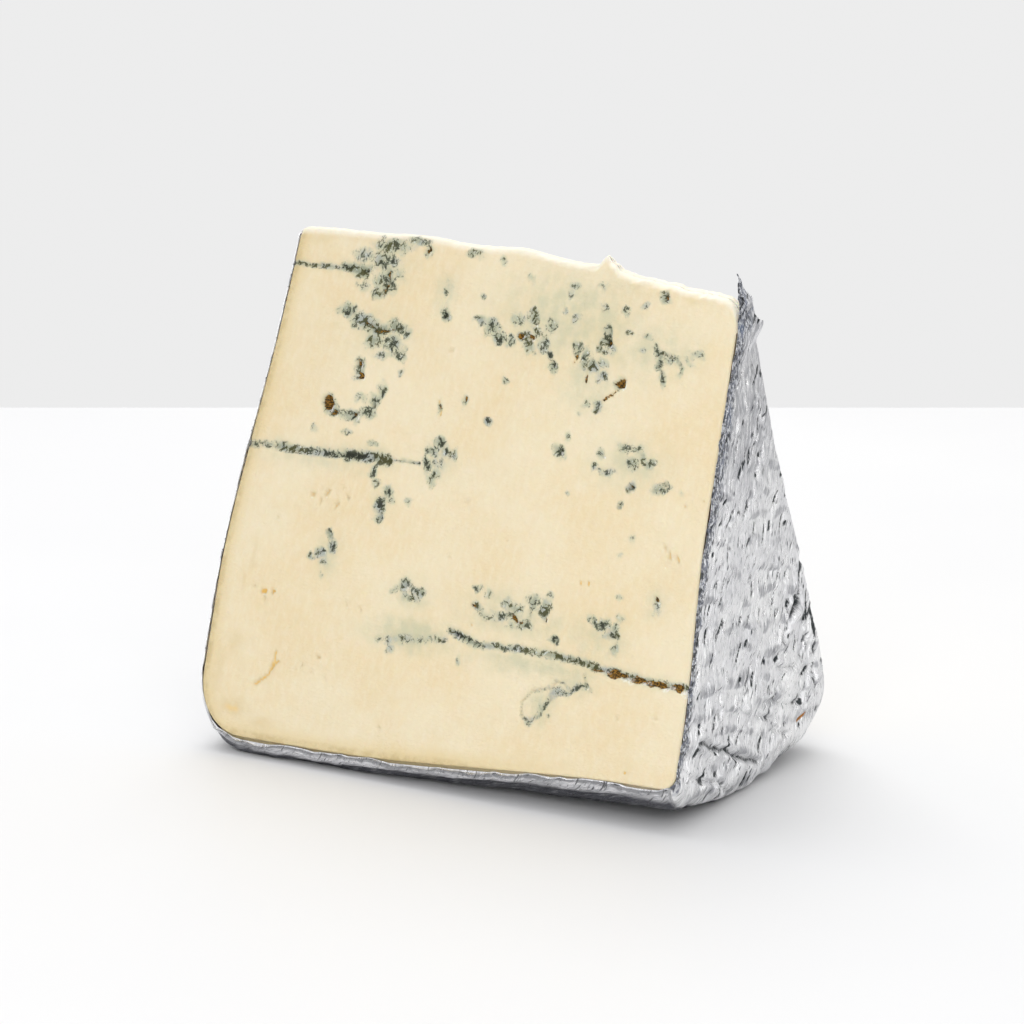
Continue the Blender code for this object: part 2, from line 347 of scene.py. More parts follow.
# On the front cut, x is measured along the wheel's axis and the depth down the cut from it.
# A patch of mould: x, depth, half width, half height, strength.
FRONT_PATCHES = (
    # beside the uppermost track
    (-31.5, 10, 1.9, 1.3, 1.3), (-31, 7, 3, 1.4, 0.7), (-25.5, 5, 4.5, 1.6, 0.85), (-26.5, 8, 3.2, 2, 0.85),
    (-25.5, 11.8, 2.6, 2.6, 1), (-19.5, 3.8, 2.6, 1.2, 0.8), (-17, 5.6, 1.5, 1.1, 0.6),
    (-30.5, 13, 2.2, 1.6, 0.55), (-22.5, 10.5, 1.6, 1.6, 0.6), (-27, 14.5, 2.2, 1.4, 0.8),
    # the big patch under it
    (-33.4, 18.3, 2.2, 1.3, 1.1), (-30, 19.8, 2.4, 1.4, 1.2), (-26, 21.2, 2.6, 1.6, 1.2),
    (-21.8, 20.6, 2.2, 1.6, 1.1), (-19.2, 21.4, 1.4, 1.4, 0.8), (-26, 23.6, 2.4, 1.2, 1),
    (-22, 23.8, 2.4, 1.4, 1), (-19.6, 25.4, 1.4, 1.6, 0.8), (-23.5, 26.2, 2.6, 1.1, 0.6),
    (-28.6, 29, 1.3, 2.2, 0.9), (-19, 28.6, 0.8, 1, 0.6),
    # a broken ring of mould
    (-34.4, 36.8, 1.6, 1.5, 1), (-32.6, 38.2, 1.5, 1, 0.9), (-28.8, 38.4, 2.6, 1.2, 1),
    (-25.2, 37.4, 1.6, 1.3, 1.1), (-24.2, 35.4, 1.5, 1.4, 1.1), (-22.8, 33.2, 1.1, 1.8, 0.9),
    (-27.6, 35, 1.8, 1, 0.5), (-37, 42.2, 1, 0.8, 0.6), (-29.4, 41.8, 1.2, 0.8, 0.6),
    # round the left track
    (-23, 43.4, 1.2, 0.8, 0.8), (-22, 48.6, 1, 1.3, 0.9), (-21, 50.8, 0.8, 0.9, 0.7),
    (-7.8, 41.7, 1.3, 1.2, 1.1), (-9.5, 43.4, 1.5, 1.2, 1.1), (-6.2, 43.2, 1.1, 1.2, 1),
    (-10.6, 46, 1.1, 1.2, 1), (-8.4, 48.3, 1.4, 1.8, 0.8), (-4.8, 43.4, 0.8, 1.6, 0.8),
    (-7.8, 45.6, 1.8, 1.4, 0.6), (-18.2, 52, 1.3, 1.2, 0.95), (-18.9, 54.6, 1.3, 1.8, 1.15),
    (-19, 57.4, 1.2, 1.3, 1.15), (-16.9, 53.4, 0.8, 1, 0.6), (-13, 53.8, 0.7, 0.7, 0.6),
    # small ones in the upper middle
    (-11, 16.9, 1, 1.5, 1.05), (-11.6, 12.6, 1, 2.6, 0.45), (-6.6, 4.9, 2, 1, 0.75),
    (-0.3, 5.9, 1.2, 0.8, 0.6), (-3.8, 13.3, 0.7, 0.6, 0.8), (-3, 17.4, 1.8, 1, 0.85),
    (-0.6, 18.6, 1.8, 1.4, 0.95), (1.4, 20.2, 1.4, 1.3, 1.1), (4, 20.8, 1, 1.3, 0.9),
    (-1.4, 20, 1.2, 0.9, 0.7), (5, 16.6, 1.8, 1.3, 0.7), (8.2, 15.7, 1.6, 1.3, 0.95),
    (12.4, 17.2, 1, 1.5, 0.85), (6.8, 19.8, 1.2, 1.1, 1), (9.5, 18.4, 1.8, 1.2, 0.7),
    (11.6, 20.6, 1.3, 1.6, 0.9), (8.2, 21.6, 1.6, 1.3, 0.9), (4.4, 28.3, 0.8, 0.9, 0.9),
    (1.7, 36.3, 1, 0.8, 0.95), (-4.4, 33.2, 1, 1.3, 0.8), (-9.6, 35, 0.7, 1.6, 0.5),
    (13.9, 24.6, 1, 1.2, 1.1), (12.8, 22.6, 0.8, 0.7, 0.9),
    # upper right
    (6.6, 8.6, 0.9, 1.2, 0.55), (16, 9.2, 1.2, 0.9, 0.75), (15.4, 11.2, 0.9, 0.9, 0.55),
    (22, 8.6, 1.2, 0.8, 0.6), (23, 12.5, 1.2, 1.1, 0.65), (15.2, 13.8, 0.9, 0.8, 0.8),
    (17.4, 15.3, 0.8, 0.8, 0.7), (27.8, 12.8, 1.1, 1.2, 0.85), (31.2, 11.8, 1.1, 1, 0.55),
    (35.2, 9.6, 1.1, 1, 0.85), (24.5, 18, 0.9, 2, 1), (23.8, 20.6, 1, 0.9, 0.95),
    (29.4, 16.8, 0.7, 0.7, 0.6), (33.2, 17.2, 1.6, 0.8, 0.5), (18.8, 21, 1.1, 1.4, 0.8),
    (20.6, 22.2, 1.2, 1.8, 0.95), (22.4, 23.8, 1.4, 1.5, 1.15), (24.2, 25.6, 1.2, 1.2, 1),
    (20.2, 24, 1, 1.6, 0.7), (24.4, 22.8, 1, 1, 0.8), (25.8, 20.4, 1, 1.4, 0.6),
    (28.2, 26.6, 1.2, 1.1, 0.8), (24.4, 31, 1, 1.3, 0.85), (21.8, 30.8, 1, 0.9, 0.6),
    (20.8, 33, 1.1, 1, 0.45), (34.8, 19.8, 1, 1.4, 0.85), (36.2, 21.8, 1, 1.8, 1.05),
    (37.4, 24.8, 0.9, 1.3, 0.95), (38.6, 21, 1.6, 0.9, 0.7), (40.4, 22.9, 0.8, 1, 0.7),
    (43.6, 19.8, 1.8, 0.9, 0.7), (42, 21.2, 1.3, 0.8, 0.5), (32.2, 19.9, 0.8, 0.6, 0.6),
    # the middle
    (17.8, 40.4, 1.3, 1.3, 1.1), (19.2, 37.5, 0.8, 0.9, 0.5), (26.6, 39.8, 1.2, 1.2, 0.8),
    (25.8, 42.4, 0.9, 0.9, 0.8), (28.6, 43, 1.8, 0.9, 0.75), (31.6, 38.2, 1.4, 1, 0.9),
    (34.4, 38.4, 1.2, 0.9, 0.9), (37.4, 40.6, 1.5, 1, 0.95), (33.4, 41, 1.7, 1.2, 0.9),
    (35.8, 39.8, 1, 1, 0.9), (34, 45.4, 0.7, 1.1, 1), (32.6, 48.4, 0.7, 0.7, 0.7),
    (40.2, 44.8, 1.8, 0.8, 0.95), (44.6, 45.4, 0.9, 0.9, 0.45), (21.2, 47.7, 0.8, 0.8, 0.4),
    # a hook, lower left
    (-29.2, 61.8, 0.9, 1.1, 1.05), (-28.6, 64, 1, 1.3, 1.1), (-31, 65.8, 1.5, 0.8, 1.05),
    (-33.2, 66.6, 0.9, 0.7, 1), (-30, 66.9, 1.4, 0.9, 0.6), (-29.8, 70, 0.8, 1, 0.4),
    # above the lower track
    (-10.6, 69.4, 1.5, 1.3, 1.05), (-7.4, 70.2, 1.5, 1.1, 1.05), (-9, 71.4, 2, 1, 0.85),
    (-12.8, 70.2, 1.2, 1, 0.5), (5.6, 71.2, 1.3, 0.9, 1.05), (5.2, 67.8, 1.2, 0.8, 0.7),
    (7.8, 68.6, 1.2, 1.2, 0.6), (12, 69.8, 1.2, 1.2, 0.7), (8.2, 72.4, 2.2, 1, 0.6),
    (11.8, 72.2, 1.6, 1, 1), (14.4, 70.8, 1.6, 1.3, 0.95), (17.6, 69, 1.5, 1.3, 0.85),
    (20.4, 69.4, 1, 1.8, 0.95), (16.4, 73.2, 1.7, 0.9, 0.9), (20.8, 67.4, 0.7, 1, 0.7),
    (13.6, 74, 1.6, 0.8, 0.7), (30.6, 70.4, 1.2, 0.9, 0.95), (32.9, 70.9, 1.4, 1.2, 1.1),
    (35.2, 72, 1.2, 1, 0.95), (34, 73, 1.6, 0.8, 0.6), (35.4, 65.4, 0.9, 0.7, 0.55),
    (36, 69.6, 1, 1.4, 0.45), (43.2, 66, 0.9, 2, 0.5), (23.2, 75.2, 1.1, 1.1, 1), (36, 75, 0.9, 1.3, 0.8),
    (36, 54.4, 0.8, 1.2, 0.35), (34, 58, 0.9, 1, 0.35),
    # under it
    (-12, 81.8, 1.2, 1, 0.75), (3.4, 81.6, 0.7, 1, 0.6), (30.6, 82.8, 1.3, 0.8, 0.9),
    (25.4, 84.8, 1.8, 0.9, 0.7), (22.4, 88, 0.9, 1.2, 0.7), (20.4, 91, 1, 0.9, 0.8),
    (24.4, 89.4, 0.7, 0.8, 0.5),
)

# A track that a piercing needle left: half width, strength, then its points.
FRONT_TRACKS = (
    (0.55, 0.85, ((-49, 10.2), (-43, 10.2), (-37, 10))),
    (0.85, 1.30, ((-36, 9.9), (-33, 10.2), (-30.6, 11))),
    (0.90, 0.70, ((-52, 46.4), (-47.5, 46.3), (-45, 46.2))),
    (0.90, 1.05, ((-45, 46.2), (-38.7, 46.4), (-31.7, 46.3), (-25, 46))),
    (1.05, 1.40, ((-29, 46.2), (-22, 46), (-19, 46.2))),
    (0.40, 0.85, ((-19, 46.2), (-15.5, 45.9), (-12, 46))),
    (1.10, 0.60, ((-14.5, 80.4), (-9, 79.6), (-4, 78.9), (-0.5, 78.4))),
    (0.75, 1.25, ((0.5, 76.6), (2.6, 77.2), (6, 78.3))),
    (0.75, 0.90, ((6, 78.3), (12.6, 78.1), (22, 78))),
    (0.80, 1.05, ((22, 78), (29, 78.4), (34, 79.2), (40, 79.7), (46, 80.1), (53, 80.2))),
)

# A crack: half width, depth, strength of its mould colour, share of brown, then its points.
FRONT_CRACKS = (
    (0.30, 0.9, 0.7, 0.7, ((-25.6, 10), (-25.2, 12.2), (-26, 14.4))),
    (0.30, 0.7, 0.9, 0.6, ((-29, 20.4), (-25.5, 21.6), (-22, 21.2))),
    (0.28, 0.8, 0.9, 0.4, ((24.6, 16.6), (24.9, 18), (25, 19.6))),
    (0.22, 0.5, 0.2, 0.8, ((28.2, 27.6), (27.4, 28.8), (25.4, 30))),
    (0.22, 0.5, 0.2, 0.8, ((18.4, 21.6), (18.2, 23.4))),
    (0.22, 0.5, 0.2, 0.8, ((21.2, 24.6), (21.4, 27))),
    (0.25, 0.6, 0.8, 0.3, ((36.3, 20), (35.8, 22), (36.9, 24))),
    (0.25, 0.4, 0.8, 0.1, ((36.6, 19.8), (39.2, 20.6), (40.6, 22.6))),
    (0.25, 0.4, 0.9, 0.2, ((38.8, 45.4), (40.2, 44.6), (41.2, 43.6))),
    (0.30, 0.4, 0.75, 0.1, ((31, 82.4), (28.4, 84.2), (25.6, 85.2), (23.6, 87), (22, 89.4), (20.2, 91.2))),
    (0.24, 0.3, 0.5, 0.1, ((30.6, 80.4), (31, 82.4), (32.4, 83.4))),
    (0.24, 0.3, 0.5, 0.1, ((28.4, 84.2), (26.6, 82.8), (24.6, 83), (22.6, 84.6), (20.4, 85))),
    (0.24, 0.3, 0.5, 0.1, ((24.6, 83), (24.2, 85.2), (23.4, 87.2))),
    (0.22, 0.3, 0.42, 0, ((20.2, 91.2), (18.6, 90), (18.4, 87.4), (20.4, 85))),
    (0.26, 0.5, 0, 0, ((-37.4, 86), (-37.6, 88.4), (-38.4, 90.4), (-41, 92.8))),
    (0.22, 0.5, 0, 0, ((-36.6, 88), (-38.2, 89.6))),
    (0.22, 0.4, 0, 0.6, ((-9.8, 33.6), (-9, 36.4))),
    (0.22, 0.5, 0.7, 0.6, ((13.2, 71.8), (14.6, 73), (17, 72.6), (17.4, 70.6))),
)

# A hole in the paste: x, depth, half width, half height, how deep it goes, how brown it is.
FRONT_HOLES = (
    (-35, 36.6, 1.25, 1.15, 2.2, 1), (-32.9, 38.3, 0.8, 0.6, 1, 0.7), (-24.4, 36.2, 0.6, 0.7, 1.4, 0.3),
    (-28.2, 38.4, 0.9, 0.5, 1, 0.6), (-28.9, 28.2, 0.7, 0.8, 1.2, 0.7), (-28.3, 30.6, 0.6, 0.7, 1, 0.9),
    (-31, 10.1, 0.9, 0.6, 1.3, 0.2), (-17.2, 5.4, 0.7, 0.5, 0.8, 0.6), (-11.1, 16.9, 0.5, 0.7, 1, 0.2),
    (8.1, 19.8, 0.6, 0.5, 1.2, 0.8), (6.4, 19.6, 0.7, 0.5, 1, 1), (9.3, 16.4, 0.35, 0.7, 1, 0.5),
    (13.7, 23.9, 0.45, 0.7, 1.2, 0.3), (24.8, 18.8, 0.4, 1, 1.3, 0.4), (28.3, 26.4, 1.15, 0.8, 1.6, 1),
    (-4.4, 32.8, 0.5, 0.7, 1.1, 1), (35.3, 9.3, 0.5, 0.4, 0.9, 0.5), (17.7, 40.2, 0.6, 0.6, 1.1, 0.4),
    (34, 45.2, 0.5, 0.7, 1.3, 0.4), (32.5, 48.5, 0.5, 0.4, 0.8, 0.3), (-18.9, 56.9, 0.6, 0.6, 0.9, 0.1),
    (-29, 61.4, 0.5, 0.5, 0.8, 0.1), (-10.2, 69.6, 0.6, 0.5, 0.9, 0.2), (4.4, 71.4, 0.6, 0.5, 1, 0.7),
    (1.7, 77, 0.5, 0.7, 1.1, 0.3), (13.8, 72.4, 0.8, 0.5, 1.2, 0.7), (20.6, 71.6, 0.4, 0.5, 0.9, 0.7),
    (34.4, 72.6, 0.8, 0.4, 0.8, 0.2), (23.2, 75, 0.6, 0.6, 1, 0.2), (33.4, 79.3, 1.8, 0.6, 0.6, 0.7),
    (37.2, 79.7, 2.3, 0.75, 0.8, 1), (41.4, 79.9, 2.2, 0.7, 0.7, 0.9), (45.6, 80.2, 2.5, 0.8, 0.7, 1),
    (49.6, 80.4, 2.2, 0.85, 0.6, 1), (43.2, 65.2, 0.4, 0.6, 0.8, 0.8), (30.8, 82.6, 0.6, 0.4, 0.8, 0.4),
    (27, 39.9, 0.5, 0.5, 0.7, 0.4),
)

# Little openings of clean paste: x, depth, size, how orange they are inside.
FRONT_EYES = (
    (-42.6, 74.7, 1, 1), (-40.3, 74.2, 0.9, 0.9), (-45, 74, 0.6, 0.3), (-41.6, 76.6, 0.6, 0.2),
    (-42, 60, 0.6, 0.2), (-35, 54.4, 0.8, 0.5), (-32.8, 55.6, 0.7, 0.4), (-31.2, 54.2, 0.8, 0.6),
    (-29.2, 56, 0.8, 0.7), (-26.8, 54.2, 0.6, 0.5), (-33.6, 53, 0.5, 0.4), (-27.8, 52.6, 0.5, 0.4),
    (-23, 75.2, 0.5, 0.4), (-19.8, 75, 0.5, 0.4), (26.8, 63.7, 0.5, 0.9), (28.6, 63.5, 0.5, 0.9),
    (44.3, 56.6, 0.8, 0.6), (42.8, 55.4, 0.8, 0.5), (45.8, 57.2, 0.7, 0.6), (43.6, 59, 0.5, 0.2),
    (46, 47.7, 0.5, 0.8), (49, 46.2, 0.5, 0.6), (-31, 87.4, 0.7, 0.4), (-27.2, 86, 0.7, 0.6),
    (-32.4, 88.6, 0.5, 0.1), (-24.8, 89.4, 0.5, 0.2), (-28.4, 88.8, 0.4, 0.1), (4.5, 75, 0.5, 0.8),
    (-12, 97, 0.6, 0.1), (10, 58, 0.5, 0.05), (0, 52, 0.5, 0.05), (-2, 63, 0.5, 0.05), (41.8, 97.2, 0.5, 1),
    (38.4, 88, 0.6, 0.1), (46, 86.4, 0.6, 0.1), (-9, 24, 0.5, 0.05),
)

# Tan stains: x, depth, half width, half height, strength.
FRONT_STAINS = (
    (-47.4, 85.4, 2.4, 3, 0.28), (-45.5, 98, 4.5, 2.4, 0.4), (-38.5, 100, 4, 1.6, 0.34),
    (-46.2, 68, 0.9, 3.5, 0.3), (-47.6, 73, 0.8, 3, 0.26), (40.7, 9.6, 2.4, 1.2, 0.3),
    (-42, 4.6, 5, 1.6, 0.25), (-40, 24, 9, 16, 0.1), (42, 96, 2, 1.2, 0.2), (-33, 3.4, 5, 1.2, 0.3),
    (48, 60, 3, 14, 0.14), (-50.5, 92, 1.6, 7, 0.3),
)

# Soft grey-green haze in the paste: x, depth, half width, half height, strength.
FRONT_HAZE = (
    (16, 15, 17, 9, 0.62), (34, 20, 11, 6, 0.5), (22, 27, 7, 7, 0.5), (33, 41, 9, 5.5, 0.5),
    (14, 72, 13, 5, 0.55), (32, 74, 8, 5, 0.45), (20, 80.5, 16, 2.6, 0.6), (-8, 78.6, 10, 3.4, 0.75),
    (-25, 22, 9, 6, 0.35), (-36, 47.8, 16, 2.4, 0.4), (-9, 71, 5, 3.4, 0.5), (-8, 45, 5, 4.6, 0.45),
    (-26, 9, 8, 5, 0.4), (-29, 66, 3.4, 4.4, 0.5), (-11.6, 13, 3, 5, 0.5), (28, 83, 5, 2.6, 0.6),
    (22.5, 87.5, 3.4, 4, 0.6), (43, 66, 3, 4, 0.4), (-18.6, 54, 3.2, 4, 0.4),
)

# The back cut isn't in the photo. It gets clusters (x, depth) and tracks of the same kinds.
BACK_CLUSTERS = (
    (-30, 22), (-8, 16), (20, 20), (36, 34), (-20, 52), (8, 66),
    (30, 74), (-36, 76), (-6, 88), (36, 12), (4, 42),
)
BACK_TRACKS = (
    ((53, 47), (40, 46.6), (26, 46.8), (17, 46.2)),
    ((-55, 81), (-40, 80.2), (-22, 79.4), (-12, 79.8)),
    ((52, 12), (44, 11.6), (36, 11.8)),
)
SPOTS_IN_A_CLUSTER = 12
BACK_EYES = 34

# The strengths in the tables above are scaled by these.
PATCH_GAIN = math.exp(0.12)
HAZE_GAIN = 1.3
STAIN_GAIN = 1.4


def from_line(x, depth, points):
    """The distance from a line through some points."""
    nearest = np.full(np.shape(x), 1e9)
    for (x0, y0), (x1, y1) in zip(points, points[1:]):
        run, rise = x1 - x0, y1 - y0
        along = ((x - x0) * run + (depth - y0) * rise) / (run * run + rise * rise)
        along = np.clip(along, 0.0, 1.0)
        nearest = np.minimum(nearest, np.hypot(x - x0 - along * run, depth - y0 - along * rise))
    return nearest


class Marks:
    """What the mould, the cracks and the holes do at each point of a cut. Every mark wobbles a little."""

    def __init__(self, x, depth, wobble, scale, seed):
        self.x = x
        self.depth = depth
        self.shift_x = wobble * rough(x / scale, depth / scale, seed, 3)
        self.shift_depth = wobble * rough(x / scale, depth / scale, seed + 4, 3)
        self.values = {name: np.zeros(x.shape) for name in ("mould", "haze", "brown", "warm", "pit", "pale")}

    def raise_to(self, name, value):
        self.values[name] = np.maximum(self.values[name], value)

    def near(self, middle_x, middle_depth, wide, high):
        """1 at the middle of a spot, falling to 0 round it."""
        across = (self.x + self.shift_x - middle_x) / wide
        down = (self.depth + self.shift_depth - middle_depth) / high
        return np.exp(-across ** 2 - down ** 2)

    def away_from(self, points, share_x, share_depth):
        """The distance from a line that wobbles by these shares."""
        return from_line(self.x + share_x * self.shift_x, self.depth + share_depth * self.shift_depth, points)

    def add_track(self, points, half_width, mould, pit, haze):
        away = self.away_from(points, 0.25, 0.3)
        self.raise_to("mould", mould * bump(away, 0.0, half_width))
        self.values["pit"] += pit * bump(away, 0.0, 0.75 * half_width)
        self.raise_to("haze", haze * bump(away, 0.0, 2.2 * half_width))

    def add_crack(self, half_width, deep, strength, share, points):
        away = self.away_from(points, 0.5, 0.5)
        line = bump(away, 0.0, half_width)
        self.raise_to("mould", strength * bump(away, 0.0, 2.0 * half_width))
        self.raise_to("brown", share * line)
        self.raise_to("warm", 0.8 * (1.0 - strength) * bump(away, 0.0, 1.6 * half_width))
        self.values["pit"] += deep * line

    def add_hole(self, x, depth, wide, high, deep, share):
        edge = smooth_step(1.9 * self.near(x, depth, wide, high) - 0.35)
        # painted highlight on the lip to one side of the hole, kept in the pale value
        highlight_spot = self.near(x + 0.9 * wide, depth + 0.6 * high, 0.6 * wide + 0.15, 0.9 * high + 0.15)
        self.values["pit"] += 0.7 * deep * edge
        self.raise_to("brown", share * edge)
        self.raise_to("pale", highlight_spot * (1.0 - edge))
        self.raise_to("mould", 0.9 * (1.0 - 0.6 * share) * edge)

    def add_eye(self, x, depth, size, orange):
        inside = self.near(x, depth, 0.62 * size, 0.8 * size)
        # painted highlight on the lip to one side of the eye, kept in the pale value
        highlight_spot = self.near(x + 0.5 * size, depth + 0.8 * size, 0.6 * size, 0.5 * size)
        self.values["pit"] += 0.75 * size * smooth_step(1.6 * inside - 0.2)
        self.values["pit"] -= 0.16 * self.near(x + 0.5, depth + 0.7, size, size)
        self.raise_to("pale", 0.8 * highlight_spot * (1.0 - smooth_step(1.6 * inside)))
        self.raise_to("warm", orange * smooth_step(2.4 * inside - 0.7))

    def haze_round_mould(self):
        self.raise_to("haze", 0.8 * smooth_step(self.values["mould"] * 1.6))


def front_marks(x, depth):
    """The marks of the front cut, as the photo shows them."""
    marks = Marks(x, depth, 0.7, 3.0, 21)
    for *spot, strength in FRONT_PATCHES:
        marks.raise_to("mould", PATCH_GAIN * strength * marks.near(*spot))
    marks.haze_round_mould()
    for *spot, strength in FRONT_HAZE:
        marks.raise_to("haze", HAZE_GAIN * strength * marks.near(*spot))
    for half_width, strength, points in FRONT_TRACKS:
        marks.add_track(points, half_width, strength, 0.35 * strength, 0.55 * strength)
    for crack in FRONT_CRACKS:
        marks.add_crack(*crack)
    for hole in FRONT_HOLES:
        marks.add_hole(*hole)
    for eye in FRONT_EYES:
        marks.add_eye(*eye)
    for *spot, strength in FRONT_STAINS:
        marks.raise_to("warm", STAIN_GAIN * strength * marks.near(*spot))
    return marks.values


def back_marks(x, depth):
    """The marks of the back cut, in a pattern of its own."""
    draw = np.random.default_rng(58)
    marks = Marks(x, depth, 0.9, 3.2, 31)
    for middle_x, middle_depth in BACK_CLUSTERS:
        for _ in range(SPOTS_IN_A_CLUSTER):
            spot_x = middle_x + draw.normal(0.0, 4.6)
            spot_depth = middle_depth + draw.normal(0.0, 2.6)
            size = draw.uniform(0.7, 1.9)
            high = size * draw.uniform(0.7, 1.2)
            marks.raise_to("mould", draw.uniform(0.6, 1.2) * marks.near(spot_x, spot_depth, size, high))
            if draw.uniform() < 0.3:
                edge = smooth_step(1.9 * marks.near(spot_x, spot_depth, 0.7, 0.7) - 0.35)
                marks.values["pit"] += draw.uniform(0.6, 1.4) * edge
                marks.raise_to("brown", draw.uniform(0.2, 1.0) * edge)
        marks.raise_to("haze", 0.5 * marks.near(middle_x, middle_depth, 8.0, 5.0))
    for points in BACK_TRACKS:
        marks.add_track(points, 1.0, 1.2, 0.4, 0.6)
    for _ in range(BACK_EYES):
        inside = marks.near(draw.uniform(-48.0, 48.0), draw.uniform(14.0, 98.0), 0.45, 0.5)
        marks.values["pit"] += 0.4 * smooth_step(1.6 * inside - 0.2)
        marks.raise_to("warm", draw.uniform(0.0, 0.7) * inside)
    marks.haze_round_mould()
    return marks.values


# ---------------------------------------------------------------- the cheese

CHEESE_COLUMNS = 248
CHEESE_ROWS = 212
CHEESE_CREST_ROWS = 24
CREST_BAND = 3.6
CHEESE_CORNER_ROWS = 36
RING_PLACES = (0.03, 0.08, 0.15, 0.26, 0.40, 0.54, 0.68, 0.80, 0.89, 0.96)
CREST_FADE = 40.0
CREST_HIGHLIGHT_DEPTH = 2.6
EDGE_TINT_DEPTH = 5.0

# Keeps the back cut's noise away from the front cut's.
BACK_PATTERN_SHIFT = 300.0


def cut_grid(angle):
    """x, radius and the distances to the four edges for a grid over a knife cut, from crest to rim."""
    across = np.linspace(0.0, 1.0, CHEESE_COLUMNS + 1)[None, :]
    corner_start = WHEEL_RADIUS - LEFT_CORNER
    crest_rows = np.linspace(0.0, CREST_BAND, CHEESE_CREST_ROWS + 1)[:-1]
    lower_rows = np.linspace(CREST_BAND, corner_start, CHEESE_ROWS - CHEESE_CREST_ROWS + 1)
    turn = np.linspace(0.0, math.pi / 2, CHEESE_CORNER_ROWS + 1)[1:]
    nominal = np.concatenate([crest_rows, lower_rows, corner_start + LEFT_CORNER * np.sin(turn)])[:, None]
    first_x = -LEFT_TOP + across * (RIGHT_TOP + LEFT_TOP)
    crest = crest_radius(first_x) * math.cos(BACK_ANGLE) / math.cos(angle)
    radius = nominal + crest * (1.0 - smooth_step(nominal / CREST_FADE))
    low = left_x(radius) + corner_curve(radius, LEFT_CORNER)
    low = low - CHEESE_SPREAD - CHEESE_SPREAD_LEFT * smooth_step((radius - 2.0) / 6.0)
    high = right_x(radius) - corner_curve(radius, right_corner(angle)) + CHEESE_SPREAD
    high = high - drawn_in(radius, angle, 1.0)
    x = low + across * (high - low)
    edges = (x - low, high - x, radius - crest, WHEEL_RADIUS - radius)
    return x, shaped(x, radius, angle) + CHEESE_SPREAD * near_rim(radius), edges


def cut_relief(x, depth, edges, marks, seed):
    """How far each point of a cut stands out from the flat: the knife's waves, mould, holes and worn edges."""
    left, right, crest, rim = edges
    relief = 0.30 * waves(x / 24.0, depth / 30.0, seed) + 0.10 * waves(x / 7.0, depth / 9.0, seed + 1)
    relief += 0.022 * waves((x + 0.12 * depth) / 0.9, depth / 11.0, seed + 2)
    relief += 0.020 * rough(x / 1.6, depth / 1.9, seed + 3, 2)
    relief -= 0.35 * np.maximum(waves(x / 1.15, depth / 1.3, seed + 5) - 0.55, 0.0)
    fuzzy = smooth_step(marks["mould"] * 1.5 - 0.35)
    relief += fuzzy * (0.22 * rough(x / 0.9, depth / 1.1, seed + 6, 2) - 0.12)
    relief -= marks["pit"] * (1.0 + 0.25 * waves(x / 0.8, depth / 0.8, seed + 7))
    crumbly = smooth_step(1.0 - crest / 4.0) * smooth_step(crest / 0.8) * smooth_step((x + 6.0) / 30.0)
    relief += crumbly * 0.45 * facets(x / 1.5, depth / 1.5, seed + 8)
    thickness = depth * (math.sin(FRONT_ANGLE) + math.sin(BACK_ANGLE))
    worn = round_drop(left, 0.25) + round_drop(right, 0.3) + round_drop(rim, 0.5)
    return relief - worn - round_drop(crest, np.minimum(1.7, 0.36 * thickness))


class Cut:
    """A knife cut, as grids of places, marks and points."""

    def __init__(self, angle, find_marks, seed):
        self.x, self.radius, self.edges = cut_grid(angle)
        self.marks = find_marks(self.x, self.radius)
        relief = cut_relief(self.x, self.radius, self.edges, self.marks, seed)
        outward = np.array([0.0, math.copysign(math.cos(angle), angle), math.sin(abs(angle))])
        self.flat = place(self.x, self.radius, angle, FOIL_THICKNESS)
        self.points = self.flat + relief[..., None] * outward

    def outline(self):
        """x, radius, place on the flat and place on the surface, once round the edge."""
        return [loop_of(grid) for grid in (self.x, self.radius, self.flat, self.points)]

    # painted highlight: how close a point is to the crest, where the paste is whitened
    def painted_crest_highlight(self):
        return smooth_step(1.0 - self.edges[2] / CREST_HIGHLIGHT_DEPTH)

    def edge_tint(self):
        """How close a point is to a side or the rim."""
        left, right, _, rim = self.edges
        return smooth_step(1.0 - np.minimum(np.minimum(left, right), rim) / EDGE_TINT_DEPTH)

    def spots(self, shift):
        """Where the looks find each point's noise."""
        return np.stack([self.x + shift, self.radius, self.x * 0.0], axis=-1)


def let_out(radius, share, angle):
    """How much farther out the rim is between the cuts than a straight line from cut to cut."""
    front, back = rolls(angle)
    farther = FRONT_ROLL_RIGHT * (1.0 - share - front) + BACK_ROLL * (share - back)
    return 0.75 * np.maximum(farther, 0.0) * near_rim(radius)


def ring_between(front, back, share, on_crest, thickness):
    """The points this share of the way from the edge of the front cut to the edge of the back cut."""
    angle = -FRONT_ANGLE + share * (FRONT_ANGLE + BACK_ANGLE)
    front_x, front_radius, front_flat, front_worn = front.outline()
    back_x, back_radius, back_flat, back_worn = back.outline()
    x = front_x + (back_x - front_x) * share
    level = front_radius * math.cos(FRONT_ANGLE) / math.cos(angle)
    unshaped = front_radius - (shaped(front_x, front_radius, -FRONT_ANGLE) - front_radius)
    curved = front_radius + (back_radius - front_radius) * share + let_out(unshaped, share, angle)
    ideal = place(x, np.where(on_crest, level, curved), angle, FOIL_THICKNESS)
    chord = front_flat + (back_flat - front_flat) * share
    ring = front_worn + (back_worn - front_worn) * share + (ideal - chord)
    crown = 4.0 * share * (1.0 - share)
    lumps = 0.5 * facets(x / 1.7, share * thickness / 1.5, 70) + 0.25 * waves(x / 0.8, share * thickness, 71)
    swell = crown * np.minimum(0.14 * thickness, 0.9) + crown * np.minimum(0.1 * thickness, 0.7) * lumps
    ring[:, 2] += np.where(on_crest, swell, 0.0)
    return ring


def in_order(at_front, in_rings, at_back):
    """Values for the points of the front cut, of the rings and of the coarser back cut."""
    return np.concatenate([flat_list(at_front), *in_rings, flat_list(at_back[COARSE])])


